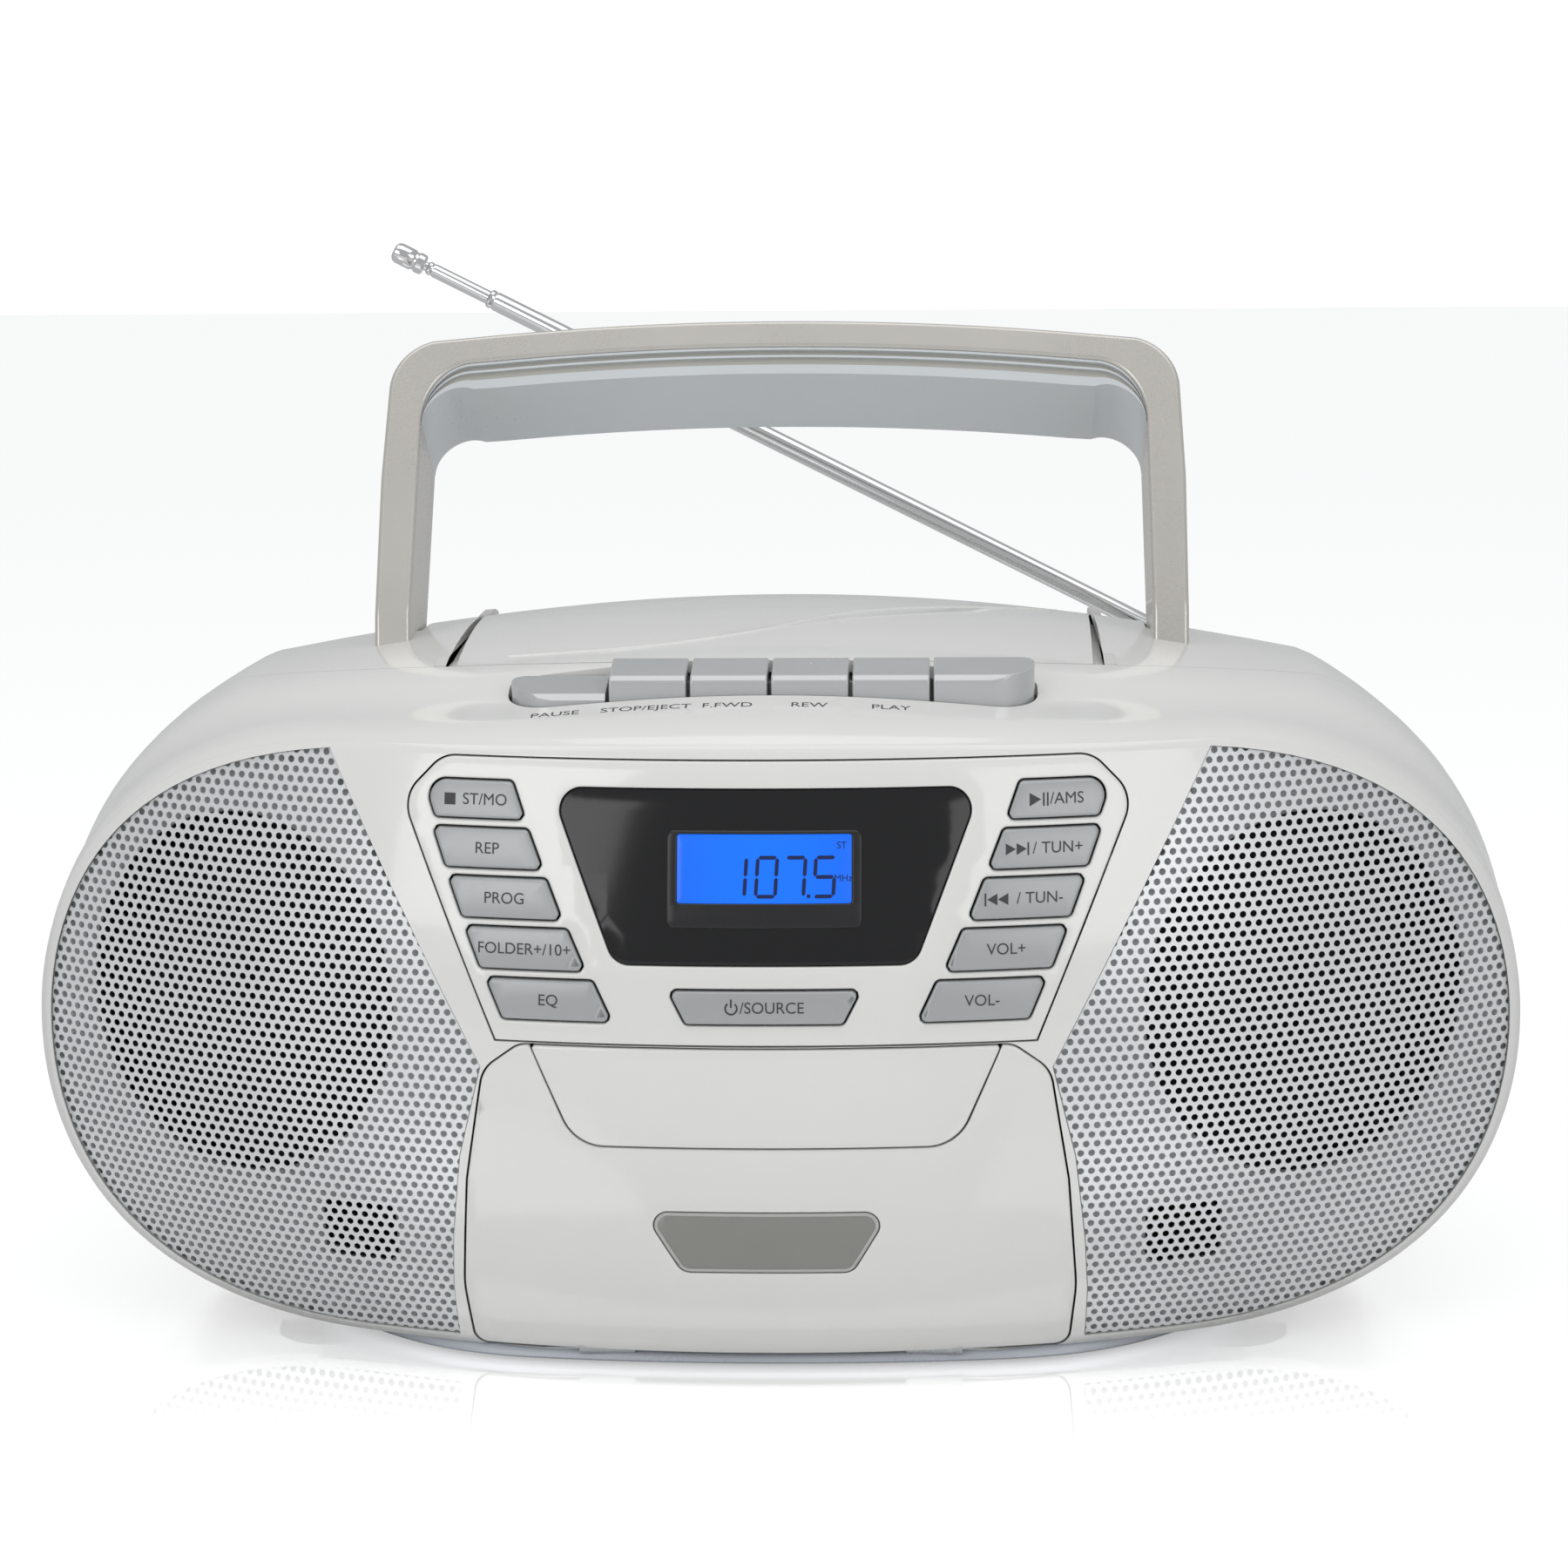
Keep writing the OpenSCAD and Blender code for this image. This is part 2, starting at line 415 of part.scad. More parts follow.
// ---------- disc player ----------
module disc_deck() color([0.86, 0.86, 0.85]) difference() {
    intersection() { body(wall); seam_cylinder(seam_r - 0.2); box(-lid_w / 2 - 3, lid_w / 2 + 3, yf, 76.4, 129, 160); }
    // room of the lid, the disc and the parts below
    difference() { box(-lid_w / 2 - gap, lid_w / 2 + gap, yf, yr, 128, 170); body(4.4); }
    translate([0, well_y, 135.5]) cylinder(r = well_r, h = 30, $fn = 96);
    box(-lid_w / 2 + 6, lid_w / 2 - 6, -44, 68, 120, 133);
    translate([0, well_y, 120]) cylinder(r = 17, h = 20);
    box(14, 50, well_y - 11, well_y + 11, 120, 140);
    both() box(43, 51, 62, 80, 133, 160);
    box(-lid_w / 2 - 4, lid_w / 2 + 4, lid_axis[0] + 2.3, 80, 134.2, 160);
    both() rod_x(3, 40, 54, lid_axis[0], lid_axis[1]);
}
module disc_turntable() color([0.2, 0.2, 0.21]) translate([0, well_y, 0]) {
    translate([0, 0, 131]) cylinder(r = 15, h = 2.4);
    translate([0, 0, 133]) cylinder(r = 7.4, h = 3.6);
    translate([0, 0, 120]) cylinder(r = 1, h = 12);
}
module laser_sled() color([0.15, 0.15, 0.18]) {
    box(19, 31, well_y - 9, well_y + 9, 124, 132);
    translate([25, well_y, 131.9]) cylinder(r = 3, h = 1.6);
}
module disc_lid() color([0.95, 0.95, 0.93]) difference() {
    union() {
        intersection() {
            difference() { body(0); body(2); }
            seam_cylinder(seam_r - 0.4);
            translate([0, 0, 139.2]) linear_extrude(60) polygon(rpoly([[-lid_w / 2 + 2.6, yf], [lid_w / 2 - 2.6, yf],
                [lid_w / 2 - 0.6, 40], [lid_w / 2 - 1.5, 75], [-lid_w / 2 + 1.5, 75], [-lid_w / 2 + 0.6, 40]],
                [0, 0, 30, 14, 14, 30], 6));
        }
        both() side([[64, 144.8], [64, 142], [lid_axis[0] - 2.8, 135.9], [lid_axis[0] + 2.4, 135.9],
            [lid_axis[0] + 2.4, 142.8]], 44, 50);
    }
    both() rod_x(3 + 2 * pin_run, 43, 51, lid_axis[0], lid_axis[1]);
}

// ---------- handle ----------
module leaned() translate([0, pivot[0], pivot[1]]) rotate([-handle_lean, 0, 0]) children();
function arch(x) = handle_len - 2.4 * x * x / 3250;
ho = handle_w / 2;
function handle_outer(o) = concat([[ho - o, 60], [ho - o - 0.9, arch(75) - 12]],
    [for (a = [0:15:75]) [ho - o - 0.9 - 13 + 13 * cos(a), arch(75) - 13 - o * 0.2 + 13 * sin(a)]],
    [for (x = [70:-14:-70]) [x, arch(x) - o]],
    [for (a = [75:-15:0]) [-(ho - o - 0.9 - 13 + 13 * cos(a)), arch(75) - 13 - o * 0.2 + 13 * sin(a)]],
    [[-(ho - o - 0.9), arch(75) - 12], [-(ho - o), 60]]);
bar_t = 13.4;
function frame_inner(o) = concat([[ho - arm_t - o, 0], [ho - arm_t - 0.6 - o, handle_len - bar_t - 12]],
    [for (x = [72:-12:-72]) [x, arch(x) - 6.8 - o]],
    [[-ho + arm_t + 0.6 + o, handle_len - bar_t - 12], [-ho + arm_t + o, 0]]);
module handle_frame() color([0.84, 0.83, 0.79]) leaned() difference() {
    union() {
        translate([0, arm_d / 2, 0]) rotate([90, 0, 0]) linear_extrude(arm_d) difference() {
            polygon(handle_outer(0));
            polygon(frame_inner(0));
        }
        both() intersection() {
            box(ho - arm_t, ho, -arm_d / 2, arm_d / 2, -11, 60 + e);
            side([[-9, 10], [-arm_d / 2, 26], [-arm_d / 2, 61], [arm_d / 2, 61], [arm_d / 2, 26], [9, 10], [10.5, 0], [8, -8],
                [0, -11], [-8, -8], [-10.5, 0]], ho - arm_t - 1, ho + 1);
        }
    }
    both() rod_x(pivot_d + 2 * pin_run, ho - arm_t - 2, ho + 2, 0, 0);
}
module handle_grip() color([0.76, 0.79, 0.81]) leaned() translate([0, arm_d / 2 - 0.4, 0]) rotate([90, 0, 0])
    linear_extrude(arm_d - 0.8) difference() {
        polygon(frame_inner(0.05));
        polygon(concat([[ho - arm_t + 1, -1], [ho - arm_t + 1, handle_len - bar_t - 11.5],
            [ho - arm_t - 2.4, handle_len - bar_t - 8]], [for (x = [70:-10:-70]) [x, arch(x) - bar_t]],
            [[-ho + arm_t + 2.4, handle_len - bar_t - 8], [-ho + arm_t - 1, handle_len - bar_t - 11.5],
            [-ho + arm_t - 1, -1]]));
    }
// pins of the handle, the disc lid and the cassette door
module hinge_pins() color([0.7, 0.7, 0.72]) both() {
    rod_x(pivot_d, handle_w / 2 - arm_t - 2.8, handle_w / 2 + 2.8, pivot[0], pivot[1]);
    rod_x(3, 40, 54, lid_axis[0], lid_axis[1]);
    rod_x(3, 28.2, 39.8, door_axis[0], door_axis[1]);
}

// ---------- inside and rear ----------
module main_board() color([0.1, 0.35, 0.2]) {
    box(-84, 84, -20, 40, 14, 15.6);
    for (x = [-60, -30, 0, 30]) box(x, x + 14, -6, 8, 15.5, 19);
    for (x = [-70, -44, 20, 52]) translate([x, 26, 15.5]) cylinder(r = 4.5, h = 14);
}
module transformer() color([0.45, 0.42, 0.4]) {
    box(-124, -90, 10, 44, 22, 60);
    box(-119, -95, 4, 50, 30, 52);
}
module battery_door() color([0.91, 0.91, 0.89]) difference() {
    intersection() { body(0); box(-61.4, 61.4, yr - 9, yr + 4, 14.6, 67.4); }
    body(wall - 0.2);
    rod_y(16, yr - 1.2, yr + 4, 0, 62);
}
// open tray behind the battery door
module battery_box() color([0.2, 0.2, 0.21]) difference() {
    intersection() { body(wall); box(-66, 66, yr - 46, yr, 11, 71); }
    box(-63.5, 63.5, yr - 43.5, yr + 5, 13.2, 68.8);
}
module battery_springs() color([0.75, 0.75, 0.77]) for (x = [-45, -15, 15, 45]) rod_y(9, yr - 43.5, yr - 38, x, 41);
module ac_inlet() color([0.08, 0.08, 0.09]) {
    difference() {
        box(-120.6, -97.4, yr - 36, yr - 12, 24.4, 39.6);
        box(-118.6, -99.4, yr - 30, yr - 10, 26.4, 37.6);
    }
    for (x = [-113.3, -104.7]) rod_y(2.4, yr - 31, yr - 17, x, 32);
}

// ---------- aerial ----------
module aim() translate(aerial) rotate([0, aerial_tilt - 90, 0]) children();
module aerial_swivel() color([0.2, 0.2, 0.21]) translate(aerial) {
    rod_y(3, -14, -2, 0, 0);
    rod_y(8, -3.6, -2.2, 0, 0);
}
module aerial_tube() color([0.78, 0.79, 0.8]) aim() difference() {
    cylinder(d = tube_d, h = tube_len);
    translate([0, 0, 3]) cylinder(d = 3.6, h = tube_len);
}
module aerial_mid() color([0.8, 0.81, 0.82]) aim() difference() {
    translate([0, 0, 16.6]) cylinder(d = 3.4, h = tube_len);
    translate([0, 0, 17.6]) cylinder(d = 2.4, h = tube_len);
}
module aerial_tip() color([0.8, 0.81, 0.82]) aim() {
    translate([0, 0, 24]) cylinder(d = 2.2, h = tube_len - 5);
    translate([0, 0, tube_len + 17.2]) cylinder(d = 5.2, h = 8.4);
}

front_cabinet();
rear_cabinet();
base();
rubber_feet();
control_panel();
display_window();
lcd_module();
button_st_mo();
button_rep();
button_prog();
button_folder();
button_eq();
button_play_pause();
button_tune_up();
button_tune_down();
button_volume_up();
button_volume_down();
button_source();
button_board();
left_grille();
right_grille();
left_speaker();
right_speaker();
key_pause();
key_stop_eject();
key_fast_forward();
key_rewind();
key_play();
key_record();
cassette_door();
door_accent();
cassette_window();
cassette_holder();
tape_chassis();
head_plate();
supply_spindle();
takeup_spindle();
capstan_flywheel();
pinch_roller();
tape_motor();
motor_pulley();
drive_belt();
disc_deck();
disc_turntable();
laser_sled();
disc_lid();
handle_frame();
handle_grip();
hinge_pins();
battery_box();
main_board();
transformer();
battery_door();
battery_springs();
ac_inlet();
aerial_swivel();
aerial_tube();
aerial_mid();
aerial_tip();
case_screws();
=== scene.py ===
"""A white portable disc, radio and cassette player with its handle up and its aerial out."""

import math

import bmesh
import bpy
import numpy as np
from mathutils import Matrix, Vector
from mathutils.bvhtree import BVHTree
from mathutils.geometry import delaunay_2d_cdt


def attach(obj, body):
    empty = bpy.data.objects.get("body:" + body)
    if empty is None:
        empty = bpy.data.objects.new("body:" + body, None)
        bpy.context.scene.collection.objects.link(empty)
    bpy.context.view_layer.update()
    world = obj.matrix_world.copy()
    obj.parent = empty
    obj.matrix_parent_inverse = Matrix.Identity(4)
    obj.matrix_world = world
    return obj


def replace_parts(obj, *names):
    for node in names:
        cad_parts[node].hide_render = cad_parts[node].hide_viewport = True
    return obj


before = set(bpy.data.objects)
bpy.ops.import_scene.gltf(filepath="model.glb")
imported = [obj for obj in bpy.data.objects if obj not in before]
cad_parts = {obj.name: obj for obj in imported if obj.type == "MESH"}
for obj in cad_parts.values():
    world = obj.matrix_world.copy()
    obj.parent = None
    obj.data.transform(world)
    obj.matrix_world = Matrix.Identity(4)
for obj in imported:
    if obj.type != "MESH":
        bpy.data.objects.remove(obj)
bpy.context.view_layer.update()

# ---------- View, floor and light ----------
# A product view from a little above and left of the middle, on a glossy white floor that fades forward,
# with one large soft light overhead, a weaker one on each side and a pale room all round.
scene = bpy.context.scene
scene.view_settings.view_transform = "Standard"
camera_data = bpy.data.cameras.new("camera")
camera_data.lens = 100.62
camera_data.sensor_width = 36
camera = bpy.data.objects.new("camera", camera_data)
scene.collection.objects.link(camera)
camera.matrix_world = (
    Matrix.Translation((0.036, -0.9685, 0.250))
    @ Matrix.Rotation(math.radians(2.1), 4, "Z")
    @ Matrix.Rotation(math.radians(81.78), 4, "X")
    @ Matrix.Rotation(math.radians(-0.4), 4, "Z")
)
scene.camera = camera


class Value:
    """A shader socket that can be used in sums."""

    def __init__(self, tree, socket):
        self.tree = tree
        self.socket = socket

    def node(self, kind, inputs, output=0, **settings):
        """Adds one node; its inputs are given by name or index, as sockets or as plain values."""
        made = self.tree.nodes.new(kind)
        for name, setting in settings.items():
            setattr(made, name, setting)
        for key, value in inputs.items():
            if isinstance(value, Value):
                self.tree.links.new(value.socket, made.inputs[key])
            else:
                made.inputs[key].default_value = value
        return Value(self.tree, made.outputs[output])

    def maths(self, operation, a, b):
        return self.node("ShaderNodeMath", {0: a, 1: b}, operation=operation)

    def __add__(self, other):
        return self.maths("ADD", self, other)

    def __radd__(self, other):
        return self.maths("ADD", other, self)

    def __sub__(self, other):
        return self.maths("SUBTRACT", self, other)

    def __rsub__(self, other):
        return self.maths("SUBTRACT", other, self)

    def __mul__(self, other):
        return self.maths("MULTIPLY", self, other)

    def __rmul__(self, other):
        return self.maths("MULTIPLY", other, self)

    def between(self, low, high, to_low=0.0, to_high=1.0):
        """Stretches this value from low..high to to_low..to_high, clamped."""
        return self.node("ShaderNodeMapRange", {0: self, 1: low, 2: high, 3: to_low, 4: to_high})


def object_point(tree):
    """The surface point in the object's own coordinates."""
    return Value(tree, tree.nodes.new("ShaderNodeTexCoord").outputs["Object"])


def floor_material():
    material = bpy.data.materials.new("floor")
    material.use_nodes = True
    tree = material.node_tree
    tree.nodes.clear()
    out = tree.nodes.new("ShaderNodeOutputMaterial")
    point = object_point(tree)
    y = point.node("ShaderNodeSeparateXYZ", {0: point}, output=1)
    matt = point.node("ShaderNodeBsdfDiffuse", {"Color": (0.93, 0.93, 0.93, 1)})
    direct = Value(tree, tree.nodes.new("ShaderNodeLightPath").outputs["Is Camera Ray"])
    lit = point.node("ShaderNodeEmission", {"Color": (1, 1, 1, 1), "Strength": direct * 1.1})
    matt = point.node("ShaderNodeAddShader", {0: matt, 1: lit})
    gloss = point.node("ShaderNodeBsdfGlossy", {"Color": (1, 1, 1, 1), "Roughness": 0.04})
    amount = y.between(-0.36, -0.08, 0.0, 0.6)
    mixed = point.node("ShaderNodeMixShader", {0: amount, 1: matt, 2: gloss})
    tree.links.new(mixed.socket, out.inputs["Surface"])
    return material


def stage_plane(name, material, size, place):
    mesh = bpy.data.meshes.new(name)
    h = size / 2
    mesh.from_pydata([(-h, -h, 0), (h, -h, 0), (h, h, 0), (-h, h, 0)], [], [(0, 1, 2, 3)])
    mesh.materials.append(material)
    plane = bpy.data.objects.new(name, mesh)
    plane.location = place
    scene.collection.objects.link(plane)


def soft_light(name, place, aim, size, power):
    data = bpy.data.lights.new(name, "AREA")
    data.shape = "RECTANGLE"
    data.size = size[0]
    data.size_y = size[1]
    data.energy = power
    light = bpy.data.objects.new(name, data)
    light.location = place
    light.rotation_euler = (Vector(aim) - Vector(place)).to_track_quat("-Z", "Y").to_euler()
    scene.collection.objects.link(light)


stage_plane("floor", floor_material(), 12, (0, 0, 0))
soft_light("overhead", (0, -0.1, 1.3), (0, 0, 0), (1.5, 0.9), 4.6)
soft_light("front_left", (-0.9, -1.3, 0.75), (0, 0, 0.08), (0.8, 0.8), 3.9)
soft_light("front_right", (1.0, -1.2, 0.7), (0, 0, 0.08), (0.8, 0.8), 3.0)
world = bpy.data.worlds.new("room")
world.use_nodes = True
scene.world = world
room = world.node_tree.nodes["Background"]
seen = Value(world.node_tree, world.node_tree.nodes.new("ShaderNodeLightPath").outputs["Is Camera Ray"])
world.node_tree.links.new((0.52 + seen * 0.6).socket, room.inputs["Strength"])
room.inputs["Color"].default_value = (0.98, 0.99, 1, 1)


# ---------- Cabinet ----------
# The cabinet is two glossy white ABS mouldings: a front shell with a soft flared rim round the fascia, and a
# rear shell that tapers backwards. They meet on an arc seen from above and are screwed together from below.
MM = 0.001


def finish(name, colour, rough, metallic=0.0, coat=0.0, drift=0.03, grain=0.02, scale=900.0):
    """A moulded, painted or plated surface: colour and gloss drift a little and a fine grain breaks the shine."""
    material = bpy.data.materials.new(name)
    material.use_nodes = True
    tree = material.node_tree
    shader = tree.nodes["Principled BSDF"]
    point = object_point(tree)
    cloud = point.node("ShaderNodeTexNoise", {"Vector": point, "Scale": 22.0, "Detail": 3.0})
    speck = point.node("ShaderNodeTexNoise", {"Vector": point, "Scale": scale, "Detail": 2.0})
    dark = tuple(c * (1 - drift) for c in colour)
    light = tuple(min(1.0, c * (1 + drift)) for c in colour)
    share = cloud.between(0.35, 0.65)
    tint = point.node("ShaderNodeMix", {0: share, 6: (*dark, 1), 7: (*light, 1)}, output=2, data_type="RGBA")
    tree.links.new(tint.socket, shader.inputs["Base Color"])
    gloss = cloud.between(0.3, 0.7, rough * 0.88, rough * 1.12) + (speck - 0.5) * (rough * 0.25)
    tree.links.new(gloss.socket, shader.inputs["Roughness"])
    bump = point.node("ShaderNodeBump", {"Strength": grain, "Distance": 0.0001, "Height": speck})
    tree.links.new(bump.socket, shader.inputs["Normal"])
    shader.inputs["Metallic"].default_value = metallic
    shader.inputs["Coat Weight"].default_value = coat
    shader.inputs["Coat Roughness"].default_value = 0.04
    return material


def add_object(name, vertices, faces, material):
    """A mesh object from millimetre points in the row frame."""
    mesh = bpy.data.meshes.new(name)
    corners = [tuple(int(i) for i in f) for f in faces]
    mesh.from_pydata((np.asarray(vertices, float) * MM).tolist(), [], corners)
    mesh.materials.append(material)
    return linked(name, mesh)


def linked(name, mesh):
    """An object at the origin, in the scene."""
    made = bpy.data.objects.new(name, mesh)
    scene.collection.objects.link(made)
    return made


def painted(made, material):
    """Gives the piece one material in place of those that its cuts brought along."""
    made.data.materials.clear()
    made.data.materials.append(material)
    return made


def smooth(made, angle=35):
    made.data.shade_smooth()
    made.data.set_sharp_from_angle(angle=math.radians(angle))
    return made


def baked(made):
    """Turns the object's modifiers into plain mesh."""
    depsgraph = bpy.context.evaluated_depsgraph_get()
    mesh = bpy.data.meshes.new_from_object(made.evaluated_get(depsgraph))
    made.modifiers.clear()
    made.data = mesh
    return made


def combine(made, other, operation, keep=False):
    """One boolean of closed solids; the other object is used up unless it is kept."""
    step = made.modifiers.new("cut", "BOOLEAN")
    step.operation = operation
    step.solver = "MANIFOLD"
    step.object = other
    baked(made)
    if not keep:
        bpy.data.objects.remove(other)
    return made


def rounded(corners, radii, arc_step=0.5):
    """A closed outline whose corners are arcs of the given radii."""
    points = []
    n = len(corners)
    for i, corner in enumerate(corners):
        b = np.array(corner, float)
        u = np.array(corners[i - 1], float) - b
        v = np.array(corners[(i + 1) % n], float) - b
        u /= np.linalg.norm(u)
        v /= np.linalg.norm(v)
        r = radii[i] if np.ndim(radii) else radii
        half = math.acos(np.clip(u @ v, -1, 1)) / 2
        if r < 0.05 or half > 1.5:
            points.append(b)
            continue
        run = r / math.tan(half)
        middle = b + (u + v) / np.linalg.norm(u + v) * r / math.sin(half)
        start = b + u * run - middle
        end = b + v * run - middle
        count = max(3, int(r * (math.pi - 2 * half) / arc_step))
        for k in range(count + 1):
            ray = start * (1 - k / count) + end * k / count
            points.append(middle + ray / np.linalg.norm(ray) * r)
    return np.array(points)


def spaced(points, step):
    """The same closed outline with long edges divided."""
    out = []
    for a, b in zip(points, np.roll(points, -1, axis=0)):
        count = max(1, int(np.linalg.norm(b - a) / step))
        out.extend(a + (b - a) * k / count for k in range(count))
    return np.array(out)


def inset(points, amount):
    """A counter-clockwise outline moved inwards by an amount, or outwards when it is negative."""
    before = points - np.roll(points, 1, axis=0)
    after = np.roll(points, -1, axis=0) - points
    before /= np.linalg.norm(before, axis=1)[:, None]
    after /= np.linalg.norm(after, axis=1)[:, None]
    nb = np.stack([-before[:, 1], before[:, 0]], 1)
    na = np.stack([-after[:, 1], after[:, 0]], 1)
    return points + amount * (nb + na) / (1 + (nb * na).sum(1))[:, None].clip(0.5)


def mirrored(points):
    return [(-x, z) for x, z in reversed([tuple(p) for p in points])]


def prism(outline, low, high, axis, name="cutter", material=None):
    """A closed prism from an outline: axis y takes (x, z), axis z takes (x, y), axis x takes (y, z)."""
    outline = np.asarray(outline, float)
    n = len(outline)
    a, b = outline[:, 0], outline[:, 1]
    ends = []
    for level in (low, high):
        c = np.full(n, float(level))
        ends.append(np.stack({"x": (c, a, b), "y": (a, c, b), "z": (a, b, c)}[axis], 1))
    faces = [tuple(range(n)), tuple(range(2 * n - 1, n - 1, -1))]
    faces += [(i, i + n, (i + 1) % n + n, (i + 1) % n) for i in range(n)]
    if axis != "y":
        faces = [f[::-1] for f in faces]
    return add_object(name, np.concatenate(ends), faces, material or white)


def bezier(a, b, c, d, count=24):
    t = np.linspace(0, 1, count + 1)[:, None]
    a, b, c, d = (np.array(p, float) for p in (a, b, c, d))
    return (1 - t) ** 3 * a + 3 * (1 - t) ** 2 * t * b + 3 * (1 - t) * t**2 * c + t**3 * d


# The front is part of an upright drum about DRUM_Y. It stands straight at WAIST and leans back above and below.
DRUM_Y, DRUM_R = 122.0, 228.0
WAIST, BELOW_R, ABOVE_R = 60, 98, 175


def lean_back(z):
    dz = np.asarray(z, float) - WAIST
    bend = np.where(dz < 0, BELOW_R, ABOVE_R)
    return bend - np.sqrt(bend**2 - dz**2)


def front(x, z, depth=0.0):
    """y of the front wall, or of a layer some depth below it."""
    return DRUM_Y - np.sqrt((DRUM_R - lean_back(z) - depth) ** 2 - np.asarray(x, float) ** 2)


white = finish("gloss_white_abs", (0.83, 0.83, 0.81), 0.16, coat=0.6, drift=0.01, grain=0.006, scale=500)
fascia_side = np.concatenate([
    bezier((-91.1, 128.2), (-141.1, 123.2), (-157, 92), (-157, 66)),
    bezier((-157, 66), (-157, 40), (-143, 5.2), (-85, 5.2))[1:],
])
CENTRE = 70.0
angles = np.radians(np.arange(0, 360, 1.0))


def polar(points):
    """Radius of an outline about (0, CENTRE) at each of the angles."""
    x, z = points[:, 0], points[:, 1] - CENTRE
    around = np.arctan2(z, x) % (2 * math.pi)
    order = np.argsort(around)
    return np.interp(angles, around[order], np.hypot(x, z)[order], period=2 * math.pi)


fascia = spaced(np.concatenate([fascia_side, fascia_side[::-1] * (-1, 1)]), 1.0)
RIM, HALF_WIDTH, FLOOR_Z, CROWN_Z = 2.6, 161, 3, 149.3
rim_r = polar(fascia) + RIM


def eased(t):
    """A share from 0 to 1 that starts and ends gently."""
    return t * t * (3 - 2 * t)


def under_z(x):
    """Height of the underside, which lifts towards the sides."""
    return FLOOR_Z + 5.5 * eased(np.clip((np.abs(x) - 58) / 45, 0, 1))


across, up = (np.sign(part) * np.abs(part) ** (2 / 2.6) for part in (np.cos(angles), np.sin(angles)))
across, up = HALF_WIDTH * across, CENTRE + 86 * up
body_line = np.stack([across, up.clip(under_z(across), CROWN_Z - 0.00085 * across**2)], 1)
outer_r = polar(spaced(body_line, 1.0))
# How far the body has flared, by distance behind the rim; its half width, by y; and the height of its tail's top
# and foot and the share of its width, by distance from the back.
FLARE = [[0, 0], [2.5, 0.14], [6.9, 0.255], [13.1, 0.33], [19.2, 0.42], [24.6, 0.57], [29.8, 0.726], [39.6, 0.83],
         [56.4, 0.93], [80, 1]]
TAPER = [[-20, 161], [8, 159.5], [34, 156], [62, 149], [86, 139], [106, 126], [122, 112]]
TAIL_TOP = [[0, 74], [1.5, 96], [4.5, 114], [8.5, 126], [12.5, 133], [18, 139], [28, 143.8], [46, 147],
            [78, 149.8]]
TAIL_FOOT = [[0, 52], [3, 28], [8, 12], [17, 3]]
TAIL_SIDE = [[0, 0.72], [1, 0.84], [3, 0.905], [7, 0.955], [12, 0.985], [20, 1]]


def table(curve, at):
    """Reads a curve given by a few points, rounding its corners."""
    curve = np.array(curve, float)
    width = 0.6 + 0.12 * np.abs(at)
    return np.mean([np.interp(at + k * width / 4, curve[:, 0], curve[:, 1]) for k in range(-4, 5)], axis=0)


def cabinet_rings():
    """Rings from the middle of the front, round the rim and back to the middle of the tail."""
    rings = []
    cos, sin = np.cos(angles), np.sin(angles)
    for share in (0.06, 0.2, 0.35, 0.5, 0.62, 0.74, 0.84, 0.92, 0.97):
        x, z = rim_r * share * cos, CENTRE + rim_r * share * sin
        rings.append((x, front(x, z), z))
    for s in (0, 0.25, 0.7, 1.4, 2.4, 3.6, 5, 6.9, 9, 11.4, 14, 16.6, 19.2, 22, 24.6, 27.2, 29.8, 33, 36.4, 41, 47,
              54, 62, 71, 80):
        w = min(1.0, table(FLARE, np.float64(s)) - table(FLARE, np.float64(0.0)))
        r = rim_r + (outer_r - rim_r) * w
        x, z = r * cos, (CENTRE + r * sin).clip(FLOOR_Z, None)
        y = front(x, z) + s
        x = x * (1 - w * (1 - table(TAPER, y) / HALF_WIDTH))
        rings.append((x, y, z))
    x0, y0, z0 = rings[-1]
    wide = outer_r * cos
    start = 106 - wide**2 / 1400 - y0
    for q in (0.92, 0.84, 0.76, 0.68, 0.6, 0.52, 0.45, 0.38, 0.32, 0.26, 0.21, 0.17, 0.135, 0.105, 0.08, 0.06,
              0.043, 0.03, 0.02, 0.012, 0.006, 0.002, 0):
        d = start * q
        y = y0 + start - d
        ease = min(1.0, (1 - q) / 0.35)
        top = np.minimum(1, (table(TAIL_TOP, d) - CENTRE) / 79.3)
        foot = (CENTRE - np.interp(d, *np.array(TAIL_FOOT).T)) / 67
        kz = np.where(sin > 0, top, foot)
        kz = 1 + (kz - 1) * ease
        kx = 1 + (table(TAIL_SIDE, d) - 1) * ease
        x = wide * table(TAPER, y) / HALF_WIDTH * kx
        z = CENTRE + (z0 - CENTRE) * kz
        rings.append((x, y, z))
    return [np.stack(r, 1) for r in rings]


def lofted(name, rings, material):
    """A closed skin through rings of equal length, with a point at each end."""
    n = len(rings[0])
    points = np.concatenate([rings[0].mean(0)[None], *rings, rings[-1].mean(0)[None]])
    faces = [(0, 1 + j, 1 + (j + 1) % n) for j in range(n)]
    for k in range(len(rings) - 1):
        a = 1 + k * n
        faces += [(a + j, a + n + j, a + n + (j + 1) % n, a + (j + 1) % n) for j in range(n)]
    last = 1 + (len(rings) - 1) * n
    faces += [(last + j, len(points) - 1, last + (j + 1) % n) for j in range(n)]
    return add_object(name, points, faces, material)


def facing_out(made):
    """Turns every face outward."""
    work = bmesh.new()
    work.from_mesh(made.data)
    bmesh.ops.recalc_face_normals(work, faces=work.faces)
    work.to_mesh(made.data)
    work.free()
    return made


